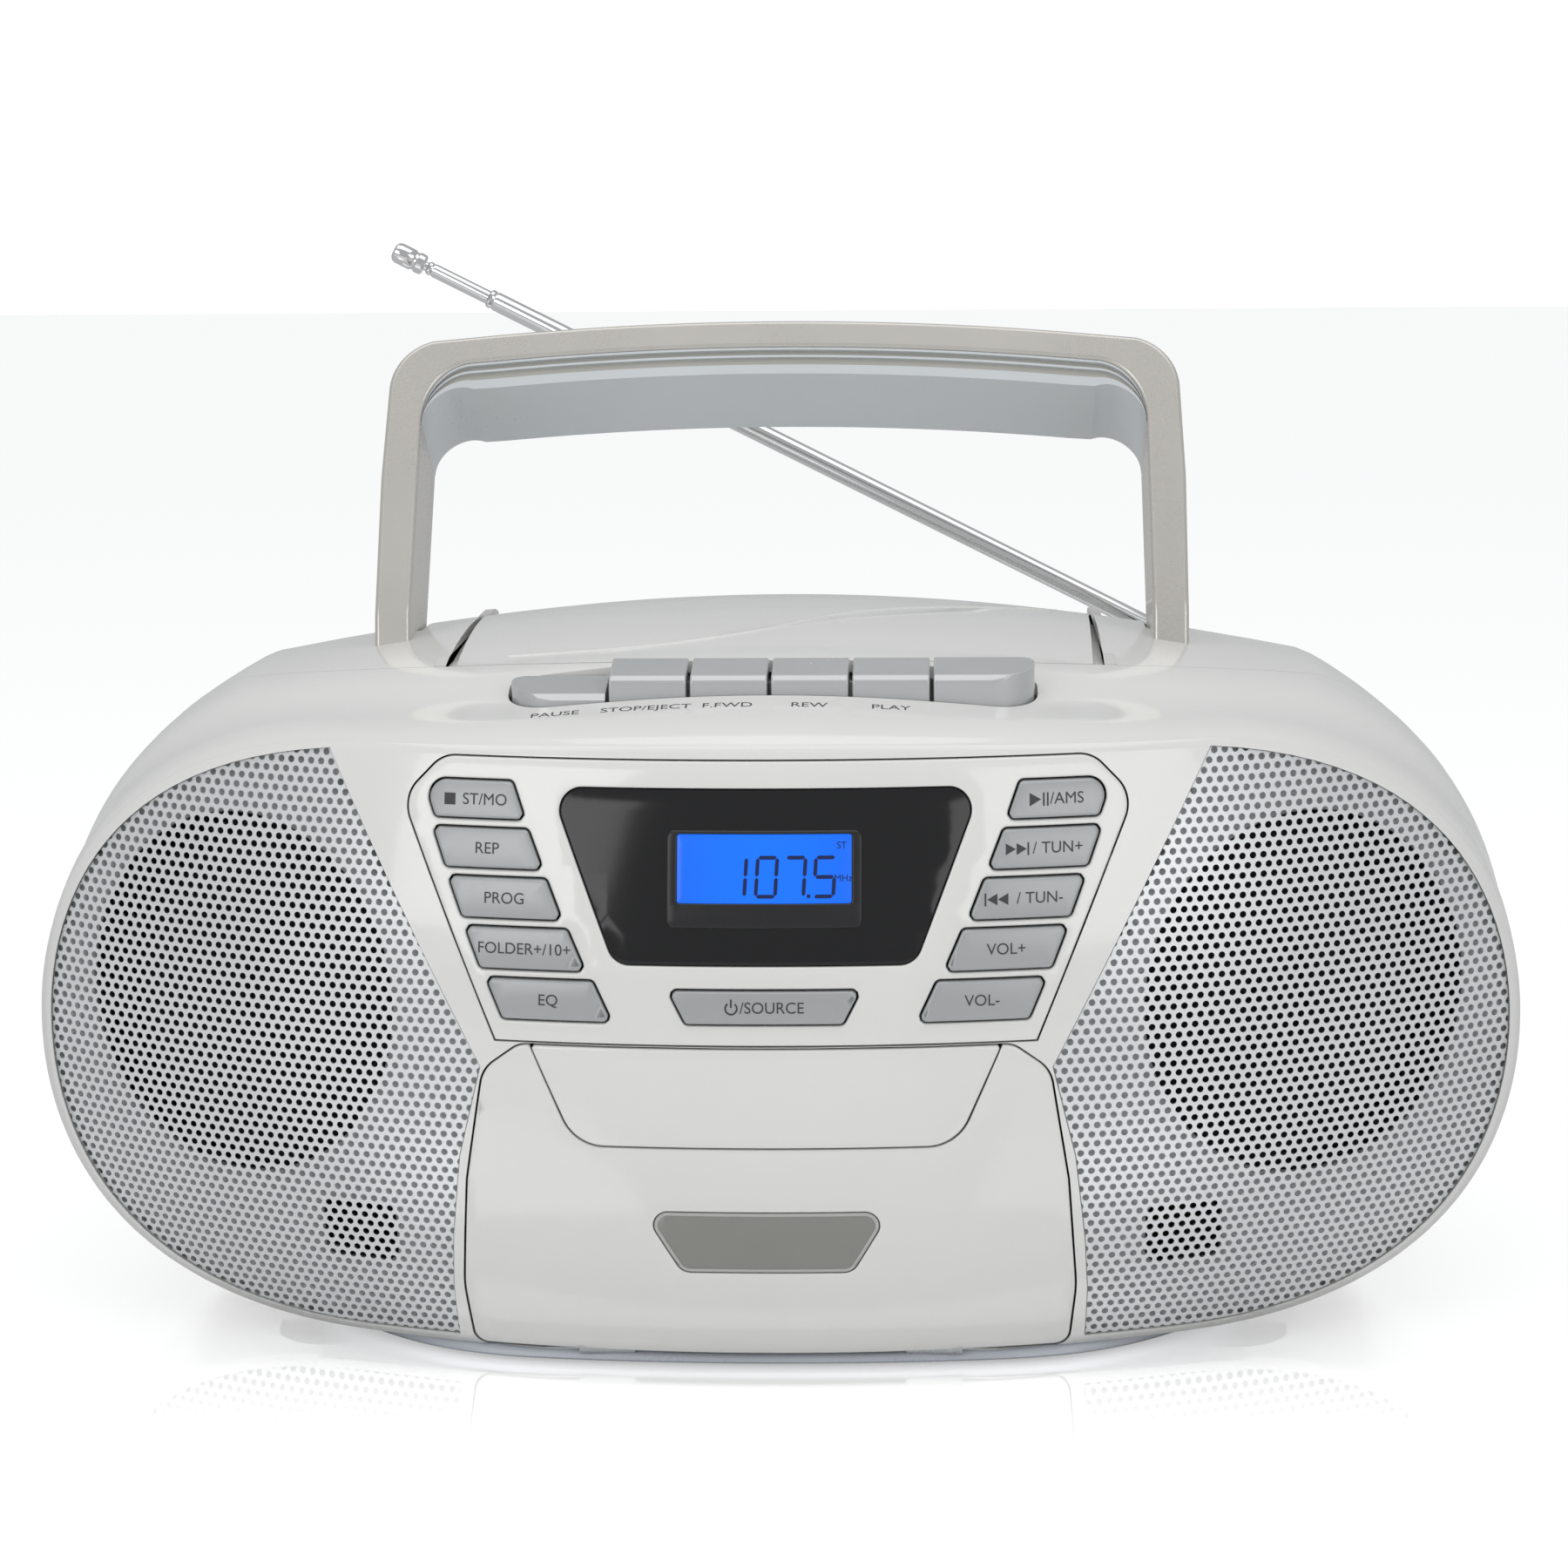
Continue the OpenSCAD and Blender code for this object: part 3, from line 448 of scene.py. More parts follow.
def copied(made, name, shrink=0.0):
    """A copy, moved inwards along its own normals by shrink millimetres."""
    mesh = made.data.copy()
    if shrink:
        points = np.empty(len(mesh.vertices) * 3)
        normals = np.empty(len(mesh.vertices) * 3)
        mesh.vertices.foreach_get("co", points)
        mesh.vertex_normals.foreach_get("vector", normals)
        mesh.vertices.foreach_set("co", points - normals * shrink * MM)
        mesh.update()
    return linked(name, mesh)


def skin_normals(made, source, reach=0.06):
    """Faces that lie on the source skin take its smooth shading, so that cuts leave no dents in the shine."""
    skin = source.data
    corners = [p.vertices[:] for p in skin.polygons]
    points = [v.co.copy() for v in skin.vertices]
    normals = [v.vector.copy() for v in skin.vertex_normals]
    tree = BVHTree.FromPolygons(points, corners)
    mesh = made.data
    near = {}
    for vertex in mesh.vertices:
        spot, facing, index, distance = tree.find_nearest(vertex.co)
        if distance > reach * MM:
            continue
        total = Vector((0, 0, 0))
        for k in corners[index]:
            total += normals[k] / ((points[k] - spot).length + 1e-6)
        near[vertex.index] = total.normalized()
    custom = [Vector((0, 0, 0))] * len(mesh.loops)
    for face in mesh.polygons:
        if all(v in near and near[v].dot(face.normal) > 0.75 for v in face.vertices):
            for loop in face.loop_indices:
                custom[loop] = near[mesh.loops[loop].vertex_index]
    mesh.normals_split_custom_set([tuple(v) for v in custom])


def box(x0, x1, y0, y1, z0, z1):
    return prism([(x0, z0), (x1, z0), (x1, z1), (x0, z1)], y0, y1, "y")


def ellipse(x, z, across, up, count):
    turn = np.linspace(0, 2 * math.pi, count, endpoint=False)
    return np.stack([x + across * np.cos(turn), z + up * np.sin(turn)], 1)


def seam_drum(radius):
    """The upright cylinder whose wall is the seam between the front shell and all behind it."""
    return prism(ellipse(0, DRUM_Y, radius, radius, 256), -5, 170, "z")


def side_prism(outline, x0, x1):
    return prism(outline, x0, x1, "x")


def skinned(made):
    """Gives a piece cut from the cabinet's skin its shading and its gloss white."""
    skin_normals(smooth(made, 30), outer)
    return painted(made, white)


def on_side(shape, side):
    """An outline drawn for the left, or its mirror image for the right."""
    return shape if side < 0 else np.array(mirrored(shape))


WALL, SEAM_R, LID_HALF = 2.4, 176.0, 70.4
FASCIA_CUT = (-120, -60)
PANEL = [(-66.5, 128.2), (-75, 119.5), (-55, 71.8), (55, 71.8), (75, 119.5), (66.5, 128.2)]
PANEL = rounded(PANEL, [7, 7, 0, 0, 7, 7])
door_half = [(-50, 71.2), (-57.5, 65.8), (-61.3, 42.5), (-63.1, 18), (-61.8, 3.6)]
DOOR_RADII = [5, 7, 40, 30, 3, 3, 30, 40, 7, 5]
DOOR = rounded(door_half + mirrored(door_half), DOOR_RADII)
grille_inside = [(-65.3, 5.2), (-65.6, 17), (-64.9, 29), (-62.8, 47.2), (-58.1, 66.3)]
GRILLE = spaced(np.concatenate([fascia_side, grille_inside]), 1.5)
outer = smooth(facing_out(lofted("outer", cabinet_rings(), white)), 180)
inner = copied(outer, "inner", WALL)

# The front shell is opened for the panel, the door and its foot, the two grilles and the tape keys.
front_shell = combine(copied(outer, "front_cabinet_shell"), seam_drum(SEAM_R + 0.1), "DIFFERENCE")
combine(front_shell, inner, "DIFFERENCE", keep=True)
combine(front_shell, prism(inset(PANEL, -0.1), *FASCIA_CUT, "y"), "DIFFERENCE")
combine(front_shell, prism(inset(DOOR, -0.4), *FASCIA_CUT, "y"), "DIFFERENCE")
DOOR_FOOT_ROOM = (-61, 61, -111, -82.5, 2, 9)
combine(front_shell, box(*DOOR_FOOT_ROOM), "DIFFERENCE")
for side in (-1, 1):
    combine(front_shell, prism(inset(on_side(GRILLE, side), -0.05), -120, -19, "y"), "DIFFERENCE")
KEY_SLOT = rounded([(-55, -68.6), (55.8, -68.6), (55.8, -53.2), (-55, -53.2)], [9.5, 9.5, 3, 3])
combine(front_shell, prism(KEY_SLOT, 120, 160, "z"), "DIFFERENCE")

# The rear shell is closed behind the room in which the handle swings back. Each outline is in y and z.
rear_shell = combine(copied(outer, "rear_cabinet_shell"), seam_drum(SEAM_R - 0.15), "INTERSECT")
solid_rear = copied(rear_shell, "solid_rear")
combine(rear_shell, inner, "DIFFERENCE", keep=True)
WELL_WALLS = [(44.8, 182), (3, 134), (-20, 108), (-12, 99), (105, 99), (105, 190), (50, 190)]
WELL_ROOM = [(38, 180.5), (9.8, 136), (-17, 112), (-10, 102), (6, 101.5), (115, 101.5), (115, 190), (46, 190)]
BACK_WALLS = [(76.7, 99), (105, 99), (105, 190), (60, 190), (74, 144.5), (76.7, 138)]
BACK_ROOM = [(79.4, 101.5), (115, 101.5), (115, 190), (60, 190), (75, 144.5), (76.4, 139.5), (78.5, 130.5),
             (79.4, 119)]
CORNER_WALLS = [(69.2, 99), (105, 99), (105, 190), (53, 190), (60.5, 150), (66, 144), (69.2, 132)]
CORNER_ROOM = [(71, 101.5), (115, 101.5), (115, 190), (55, 190), (62, 150), (67.8, 145), (71, 134)]
WALLS = [(WELL_WALLS, -93.5, -79.5), (WELL_WALLS, 79.5, 93.5), (CORNER_WALLS, -82.6, -73.2),
         (CORNER_WALLS, 73.2, 82.6), (BACK_WALLS, -90.5, 90.5)]
ROOMS = [(WELL_ROOM, -91.3, -81.7), (WELL_ROOM, 81.7, 91.3), (BACK_ROOM, -91.3, 91.3),
         (CORNER_ROOM, -82.6, -74.6), (CORNER_ROOM, 74.6, 82.6)]
for outline, x0, x1 in WALLS:
    wall = combine(side_prism(outline, x0, x1), solid_rear, "INTERSECT", keep=True)
    combine(rear_shell, wall, "UNION")
bpy.data.objects.remove(solid_rear)
for outline, x0, x1 in ROOMS:
    combine(rear_shell, side_prism(outline, x0, x1), "DIFFERENCE")
LID_OPENING = (-LID_HALF, LID_HALF, -106, 76.6, 120, 170)
BATTERY_OPENING = (-62, 62, 97, 111, 14, 68)
INLET_OPENING = (-121, -97, 69, 115, 24, 40)
for opening in (LID_OPENING, BATTERY_OPENING, INLET_OPENING):
    combine(rear_shell, box(*opening), "DIFFERENCE")
VENT_PITCH = 9
for i in range(-5, 6):
    x0, x1 = i * VENT_PITCH - 2, i * VENT_PITCH + 2
    combine(rear_shell, prism(rounded([(x0, 76), (x1, 76), (x1, 92), (x0, 92)], 1.9), 86, 111, "y"), "DIFFERENCE")

for shell, node in ((front_shell, "front_cabinet"), (rear_shell, "rear_cabinet")):
    skinned(shell)
    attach(shell, "cabinet")
    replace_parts(shell, node)

# ---------- Speakers and grilles ----------
# Each grille is a sheet of fine hexagonal mesh, silver painted and pressed to the bow of the front, sunk a
# little behind the white rim. A moulded white baffle behind it holds the cone speaker and a small sound port;
# the baffle is toned light grey as painted shade behind the grille.
def inside(points, outline):
    """Which points lie inside a closed outline."""
    x, z = points[:, 0][:, None], points[:, 1][:, None]
    x0, z0 = outline.T
    x1, z1 = np.roll(outline, -1, axis=0).T
    with np.errstate(divide="ignore", invalid="ignore"):
        cross = (z0 > z) != (z1 > z)
        left = x < (x1 - x0) * (z - z0) / (z1 - z0) + x0
    return (np.sum(cross & left, axis=1) % 2) == 1


def pressed(made):
    """Bends a flat sheet, whose y holds its depth, to the front wall."""
    count = len(made.data.vertices)
    flat = np.empty(count * 3)
    made.data.vertices.foreach_get("co", flat)
    points = flat.reshape(-1, 3) / MM
    points[:, 1] = front(points[:, 0], points[:, 2], points[:, 1])
    made.data.vertices.foreach_set("co", (points * MM).ravel())
    made.data.update()
    return made


def plate(name, outline, material, top=0.0, back=2.2, edge=0.5, holes=(), step=4.0):
    """A plate that follows the front wall, with a rounded front edge round its outline and its holes."""
    loops = [spaced(np.asarray(p, float), 2.5) for p in (outline, *holes)]
    levels = [(edge, back), (0.0, back)]
    for a in np.linspace(0, math.pi / 2, 4):
        levels.append((edge * (1 - math.cos(a)), top + edge * (1 - math.sin(a))))
    points, faces, rims = [], [], []
    for number, loop in enumerate(loops):
        turn = 1 if number == 0 else -1
        first = len(points)
        count = len(loop)
        for amount, depth in levels:
            ring = inset(loop, amount * turn)
            points.extend((x, depth, z) for x, z in ring)
        for level in range(len(levels) - 1):
            a = first + level * count
            for j in range(count):
                k = (j + 1) % count
                face = (a + j, a + k, a + count + k, a + count + j)
                faces.append(face if number == 0 else face[::-1])
        rims.append((first, first + (len(levels) - 1) * count, count))
    flat = np.array([(p[0], p[2]) for p in points])
    border = np.concatenate([np.arange(last, last + count) for _, last, count in rims])
    low, high = flat.min(0), flat.max(0)
    across = np.arange(low[0] + step / 2, high[0], step)
    up = np.arange(low[1] + step / 2, high[1], step)
    grid = np.stack(np.meshgrid(across, up), -1).reshape(-1, 2)
    keep = inside(grid, inset(loops[0], edge + 1.0))
    for loop in loops[1:]:
        keep &= ~inside(grid, inset(loop, -edge - 1.0))
    grid = grid[keep]
    coords = [Vector(p) for p in np.concatenate([flat[border], grid])]
    edges, at = [], 0
    for _, _, count in rims:
        edges += [(at + j, at + (j + 1) % count) for j in range(count)]
        at += count
    made_at, _, triangles, origin, _, _ = delaunay_2d_cdt(coords, edges, [], 0, 1e-6)
    spots = np.array(coords)
    origin = [o[0] if o else int(np.argmin(((spots - p[:]) ** 2).sum(1))) for o, p in zip(origin, made_at)]
    triangles = [t for t in ([origin[v] for v in t] for t in triangles) if len(set(t)) == 3]
    centre = spots[np.array(triangles)].mean(1)
    good = inside(centre, inset(loops[0], edge))
    for loop in loops[1:]:
        good &= ~inside(centre, inset(loop, -edge))
    front_at = len(points)
    points.extend((x, top, z) for x, z in grid)
    back_at = len(points)
    points.extend((x, back, z) for x, z in grid)
    to_front = list(border) + list(range(front_at, back_at))
    to_back = []
    for first, _, count in rims:
        to_back += list(range(first, first + count))
    to_back += list(range(back_at, len(points)))
    for corners, ok in zip(triangles, good):
        if ok:
            faces.append(tuple(to_front[c] for c in corners))
            faces.append(tuple(to_back[c] for c in reversed(corners)))
    return smooth(pressed(add_object(name, points, faces, material)), 40)


def perforated(name, outline, material, pitch=2.24, hole=0.71, top=0.75, back=1.25):
    """A closed flat sheet of hexagonal cells, each with a round hole, cut to an outline."""
    low, high = outline.min(0) - pitch, outline.max(0) + pitch
    row = pitch * math.sqrt(3) / 2
    centres = []
    for r in range(int((high[1] - low[1]) / row) + 1):
        for c in range(int((high[0] - low[0]) / pitch) + 1):
            centres.append((low[0] + (c + 0.5 * (r % 2)) * pitch, low[1] + r * row))
    centres = np.array(centres)
    centres = centres[inside(centres, inset(outline, -1.6))]
    corner = np.radians(30 + 60 * np.arange(6))
    ring = np.radians(30 * np.arange(12) + 30)
    hexes = centres[:, None] + pitch / math.sqrt(3) * np.stack([np.cos(corner), np.sin(corner)], 1)
    keys = np.round(hexes.reshape(-1, 2), 3)
    shared, which = np.unique(keys, axis=0, return_inverse=True)
    which = which.reshape(len(centres), 6)
    holes = (centres[:, None] + hole * np.stack([np.cos(ring), np.sin(ring)], 1)).reshape(-1, 2)
    flat = np.concatenate([shared, holes])
    total = len(flat)
    points = [(x, y, z) for y in (top, back) for x, z in flat]
    faces = []
    sides = {}
    for n in range(len(centres)):
        h = len(shared) + n * 12
        for k in range(6):
            a, b = which[n][k], which[n][(k + 1) % 6]
            near = (a, b, h + (2 * k + 2) % 12, h + 2 * k + 1, h + 2 * k)
            faces.append(near)
            faces.append(tuple(total + v for v in reversed(near)))
            pair = (min(a, b), max(a, b))
            sides[pair] = None if pair in sides else (a, b)
        for k in range(12):
            a, b = h + k, h + (k + 1) % 12
            faces.append((a, b, total + b, total + a))
    for pair in sides.values():
        if pair:
            faces.append((pair[1], pair[0], total + pair[0], total + pair[1]))
    sheet = add_object(name, points, faces, material)
    return combine(sheet, prism(outline, -5, 5, "y"), "INTERSECT")


silver_mesh = finish("silver_mesh_paint", (0.8, 0.81, 0.82), 0.36, metallic=0.5, drift=0.03)
# The baffle is white plastic; this light grey is painted shade, for the shade behind the grille.
baffle_white_with_painted_shade = finish("baffle_plastic_painted_shade", (0.72, 0.73, 0.74), 0.5)
for word, side in (("left", -1), ("right", 1)):
    shape = on_side(GRILLE, side)
    sheet = perforated(word + "_grille_mesh", inset(shape, 0.15), silver_mesh)
    smooth(pressed(sheet), 30)
    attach(sheet, "cabinet")
    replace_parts(sheet, word + "_grille")
    mouth = ellipse(side * 111.5, 76, 34.5, 37.5, 72)
    x0, x1 = side * 85.6 - 8, side * 85.6 + 8
    port = rounded([(x0, 21), (x1, 21), (x1, 34.6), (x0, 34.6)], 3)
    holes = (mouth, port)
    baffle = plate(word + "_baffle", inset(shape, -0.6), baffle_white_with_painted_shade, top=2.7, back=4.6, edge=0.6, holes=holes)
    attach(baffle, "cabinet")

# ---------- Control panel ----------
# A white panel snaps into the front above the door. Ten satin silver keys stand proud of it in two leaning
# columns, with the source key below, and a black acrylic window with the lit display in the middle.
satin = finish("satin_silver_paint", (0.43, 0.44, 0.445), 0.34, metallic=0.25, drift=0.02, grain=0.05)
black_glass = finish("black_acrylic", (0.004, 0.004, 0.005), 0.12, coat=0.0, drift=0.0, grain=0.0)
black_rim = finish("display_bezel", (0.012, 0.012, 0.014), 0.3)
ink = finish("dark_grey_ink", (0.05, 0.05, 0.055), 0.5)
# Each row of keys: outer and inner x at the top, inner and outer x at the foot, then top and foot.
ROWS = [[70.3, 51.7, 49, 67.6, 123.3, 116.1], [68, 48.3, 45.2, 65.2, 114, 106.4],
        [64.6, 44.4, 41.2, 61.6, 104.4, 96.6], [61, 40, 36.4, 57.8, 94.6, 86.6], [56.6, 34.8, 31, 53.2, 84.5, 76.6]]
NAMES = {-1: ["st_mo", "rep", "prog", "folder", "eq"],
         1: ["play_pause", "tune_up", "tune_down", "volume_up", "volume_down"]}
SOURCE = rounded([(-19.2, 83), (-15.8, 76.5), (15.8, 76.5), (19.2, 83)], 1)
WINDOW = rounded([(-43.7, 122.5), (-30.3, 88), (30.3, 88), (43.7, 122.5)], 4.5)


def key_outline(row, side):
    outer_top, inner_top, inner_foot, outer_foot, top, foot = ROWS[row]
    corners = [(-outer_top, top), (-outer_foot, foot), (-inner_foot, foot), (-inner_top, top)]
    return on_side(rounded(corners, [3.4 if row == 0 else 1, 1, 1, 1]), side)


key_shapes = {NAMES[side][row]: key_outline(row, side) for side in (-1, 1) for row in range(5)}
key_shapes["source"] = SOURCE
panel = plate("panel_face", inset(PANEL, 0.3), white, top=-0.35, back=2.4, edge=0.4,
              holes=[inset(WINDOW, -0.2)] + [inset(s, -0.45) for s in key_shapes.values()])
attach(panel, "cabinet")
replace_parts(panel, "control_panel")
for word, shape in key_shapes.items():
    key = plate("face_" + word, shape, satin, top=-1.0, back=2.6, edge=0.55, step=3)
    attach(key, "button_" + word)
    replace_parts(key, "button_" + word)
window = plate("window_glass", WINDOW, black_glass, top=0.25, back=2.1, edge=0.3)
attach(window, "cabinet")
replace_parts(window, "display_window")
SCREEN = [(-17.6, 100.3), (17.6, 100.3), (17.6, 113.8), (-17.6, 113.8)]
BEZEL = [(-19.75, 95.4), (19.75, 95.4), (19.75, 114.6), (-19.75, 114.6)]
lit_shape = rounded(SCREEN, 0.5)
bezel = plate("display_bezel", rounded(BEZEL, 1.6), black_rim, top=-0.15, back=0.5, edge=0.4, holes=[lit_shape])
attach(bezel, "cabinet")


def glow(name, colour, strength, edge):
    """A back-lit face: its light falls off a little towards the ends."""
    material = finish(name, tuple(c * 0.3 for c in colour), 0.25)
    tree = material.node_tree
    point = object_point(tree)
    x = point.node("ShaderNodeSeparateXYZ", {0: point}, output=0)
    ends = (x * x).between(0.0, 0.00035, 1.0, 1.0 - edge)
    lit = point.node("ShaderNodeMix", {0: ends, 6: (0, 0, 0, 1), 7: (*colour, 1)}, output=2, data_type="RGBA")
    shader = tree.nodes["Principled BSDF"]
    tree.links.new(lit.socket, shader.inputs["Emission Color"])
    shader.inputs["Emission Strength"].default_value = strength
    return material


backlight = glow("backlight", (0.0, 0.16, 1.0), 0.9, 0.25)
screen = plate("display_face", lit_shape, backlight, top=0.1, back=0.6, edge=0.1, step=3)
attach(screen, "cabinet")


PRINT = 0.05


def printed(name, points, faces, material, body):
    """A thin print on the front wall, from a flat one whose y holds its depth."""
    made = facing_out(pressed(add_object(name, points, faces, material)))
    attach(made, body)


def decal(name, polygons, material, body, depth):
    """Flat printed shapes on the front wall, from closed outlines in x and z."""
    points, faces = [], []
    for shape in polygons:
        shape = spaced(np.asarray(shape, float), 3.0)
        n, at = len(shape), len(points)
        for y in (depth - PRINT, depth):
            points.extend((x, y, z) for x, z in shape)
        faces.append(tuple(range(at, at + n)))
        faces.append(tuple(range(at + 2 * n - 1, at + n - 1, -1)))
        faces += [(at + (i + 1) % n, at + i, at + i + n, at + (i + 1) % n + n) for i in range(n)]
    printed(name, points, faces, material, body)


def meshed(curve):
    """The mesh of a line of text or of a curve."""
    held = linked(curve.name, curve)
    mesh = bpy.data.meshes.new_from_object(held.evaluated_get(bpy.context.evaluated_depsgraph_get()))
    bpy.data.objects.remove(held)
    return mesh


def words_mesh(name, words, size, thick):
    """Points and faces of a word that is centred on the origin."""
    curve = bpy.data.curves.new(name, "FONT")
    curve.body = words
    curve.size = size
    curve.align_x = "CENTER"
    curve.align_y = "CENTER"
    curve.extrude = thick / 2
    mesh = meshed(curve)
    return [v.co for v in mesh.vertices], [tuple(p.vertices) for p in mesh.polygons]


def lettering(name, words, size, middle, material, body, depth):
    """Printed words on the front wall."""
    flat, faces = words_mesh(name, words, size, PRINT)
    points = [(p.x + middle[0], depth - PRINT / 2 - p.z, p.y + middle[1]) for p in flat]
    printed(name, points, faces, material, body)


def segment_digit(glyph, x, z, w, h, t):
    """The lit strokes of one seven-segment figure, leaning a little to the right."""
    slant = 0.06
    strokes = {"a": (0, h, w, h), "b": (w, h, w, h / 2), "c": (w, h / 2, w, 0), "d": (0, 0, w, 0),
               "e": (0, h / 2, 0, 0), "f": (0, h, 0, h / 2), "g": (0, h / 2, w, h / 2)}
    shapes = []
    for name in {"1": "bc", "0": "abcdef", "7": "abc", "5": "acdfg"}[glyph]:
        x0, z0, x1, z1 = strokes[name]
        along = np.array([x1 - x0, z1 - z0], float)
        along /= np.linalg.norm(along)
        across = np.array([-along[1], along[0]]) * t / 2
        a, b = np.array([x0, z0]) + along * t * 0.6, np.array([x1, z1]) - along * t * 0.6
        tip = along * t * 0.5
        shape = [a - tip, a - across, b - across, b + tip, b + across, a + across]
        shapes.append([(x + p[0] + slant * p[1], z + p[1]) for p in shape])
    return shapes


navy = finish("display_ink", (0.0, 0.01, 0.09), 0.4)
figures = []
for glyph, x in (("1", -7.9), ("0", -1.7), ("7", 4.0), ("5", 10.0)):
    figures += segment_digit(glyph, x, 101.7, 3.9, 7.6, 0.75)
figures.append([(8.6, 101.4), (9.3, 101.4), (9.3, 102.1), (8.6, 102.1)])
decal("display_figures", figures, navy, "cabinet", 0.09)
lettering("display_unit", "MHz", 1.9, (15.9, 105.2), navy, "cabinet", 0.09)
lettering("display_mode", "ST", 1.9, (15.6, 111.6), navy, "cabinet", 0.09)


def arrow(x, z, size, way=1):
    """A small solid triangle that points right, or left when way is -1."""
    shape = [(x, z - size / 2), (x + way * size * 0.9, z), (x, z + size / 2)]
    return shape if way > 0 else shape[::-1]


def bar(x, z, w, h):
    return [(x, z - h / 2), (x + w, z - h / 2), (x + w, z + h / 2), (x, z + h / 2)]


# Each key's word, and how far it stands right of the middle to leave room for its mark.
WORDS = {"st_mo": ("ST/MO", 1.9), "rep": ("REP", 0), "prog": ("PROG", 0), "folder": ("FOLDER+/10+", 0),
         "eq": ("EQ", 0), "play_pause": ("/AMS", 2.0), "tune_up": ("/ TUN+", 2.6), "tune_down": ("/ TUN-", 2.6),
         "volume_up": ("VOL+", 0), "volume_down": ("VOL-", 0), "source": ("/SOURCE", 1.6)}
KEY_FACE = -1.0
for word, (label, shift) in WORDS.items():
    shape = key_shapes[word]
    x, z = (shape.min(0) + shape.max(0)) / 2
    lettering("label_" + word, label, 3.2, (x + shift, z), ink, "button_" + word, KEY_FACE)
    marks = {
        "st_mo": [bar(x - 6.6, z, 2.3, 2.3)],
        "play_pause": [arrow(x - 5.6, z, 2.6), bar(x - 2.9, z, 0.35, 2.6), bar(x - 2.1, z, 0.35, 2.6)],
        "tune_up": [arrow(x - 8, z, 2.3), arrow(x - 5.8, z, 2.3), bar(x - 3.6, z, 0.35, 2.5)],
        "tune_down": [bar(x - 8.6, z, 0.35, 2.5), arrow(x - 6, z, 2.3, -1), arrow(x - 3.8, z, 2.3, -1)],
    }.get(word, [])
    if word == "source":
        sweep = np.radians(np.arange(125, 416, 15))
        outer_arc = [(x - 6.6 + 1.35 * math.cos(a), z + 1.35 * math.sin(a)) for a in sweep]
        inner_arc = [(x - 6.6 + 1.0 * math.cos(a), z + 1.0 * math.sin(a)) for a in sweep[::-1]]
        marks = [outer_arc + inner_arc, bar(x - 6.8, z + 1.0, 0.35, 1.7)]
    if marks:
        decal("mark_" + word, marks, ink, "button_" + word, KEY_FACE)

# ---------- Cassette door ----------
# A white moulded door on two knuckles at its foot. Its upper middle is a separate raised tongue, and a smoked
# grey window below it shows the cassette.
smoke = finish("smoked_window", (0.27, 0.27, 0.25), 0.12, coat=0.5, drift=0.04)
ACCENT = rounded([(-47.6, 71.2), (-38.5, 51), (38.5, 51), (47.6, 71.2)], [0.6, 9, 9, 0.6])
notch = [(47.9, 71.2), (38.8, 50.6), (-38.8, 50.6), (-47.9, 71.2)]
DOOR_NOTCHED = rounded(door_half + mirrored(door_half) + notch, [*DOOR_RADII, 0.3, 9.3, 9.3, 0.3])
PORTHOLE = rounded([(-25.1, 37), (-17.4, 23.5), (17.4, 23.5), (25.1, 37)], 3)
door = plate("door_face", DOOR_NOTCHED, white, top=0.0, back=2.2, edge=0.45, holes=[inset(PORTHOLE, -0.15)])
tongue = plate("door_tongue", ACCENT, white, top=-0.25, back=2.2, edge=0.5)
pane = plate("door_window", PORTHOLE, smoke, top=0.35, back=2.0, edge=0.3)
edge_grey = finish("window_edge", (0.5, 0.5, 0.48), 0.3)
line_hole = inset(PORTHOLE, 0.8)
line = plate("door_window_frame", inset(PORTHOLE, 0.1), edge_grey, top=0.2, back=0.6, edge=0.15, holes=[line_hole])
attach(line, "cassette_bay")
for made, node in ((door, "cassette_door"), (tongue, "door_accent"), (pane, "cassette_window")):
    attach(made, "cassette_bay")
    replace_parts(made, node)


# ---------- Tape keys ----------
# Six piano keys in a slot of the shoulder, silver painted, with bevelled fronts. PAUSE is latched down. The
# words are printed on the shoulder in front of them.
def flat_faces(made):
    """Bakes a bevelled piece so that its large faces stay flat in the light."""
    made.data.shade_smooth()
    weigh = made.modifiers.new("weigh", "WEIGHTED_NORMAL")
    weigh.weight = 100
    weigh.keep_sharp = True
    return baked(made)


def edged(made, width, segments=4, angle=40):
    """Rounds over the edges that are sharper than an angle."""
    bevel = made.modifiers.new("edges", "BEVEL")
    bevel.width = width * MM
    bevel.segments = segments
    bevel.limit_method = "ANGLE"
    bevel.angle_limit = math.radians(angle)
    return flat_faces(made)


def softened(node, name, material, width, body, segments=3):
    """The piece of one CAD node with its edges rounded over."""
    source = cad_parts[node]
    mesh = source.data.copy()
    mesh.transform(source.matrix_world)
    work = bmesh.new()
    work.from_mesh(mesh)
    bmesh.ops.remove_doubles(work, verts=work.verts, dist=1e-6)
    bmesh.ops.dissolve_limit(work, angle_limit=math.radians(0.6), verts=work.verts, edges=work.edges)
    work.to_mesh(mesh)
    work.free()
    made = painted(edged(linked(name, mesh), width, segments, 30), material)
    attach(made, body)
    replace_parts(made, node)
    return made


key_silver = finish("key_silver_paint", (0.56, 0.57, 0.575), 0.24, metallic=0.35, coat=0.2, drift=0.015)
for word in ("pause", "stop_eject", "fast_forward", "rewind", "play", "record"):
    softened("key_" + word, "cap_" + word, key_silver, 0.5, "key_" + word, segments=4)


def on_shell(points, shell_tree, lift=0.03):
    """Drops points onto the shell from above, to lie a little over it."""
    out = []
    for x, y in points:
        spot, normal, _, _ = shell_tree.ray_cast(Vector((x, y, 200)) * MM, Vector((0, 0, -1)))
        if spot:
            out.append((spot + normal * lift * MM) / MM)
    return out


def shell_bvh(made):
    mesh = made.data
    return BVHTree.FromPolygons([v.co for v in mesh.vertices], [p.vertices[:] for p in mesh.polygons])


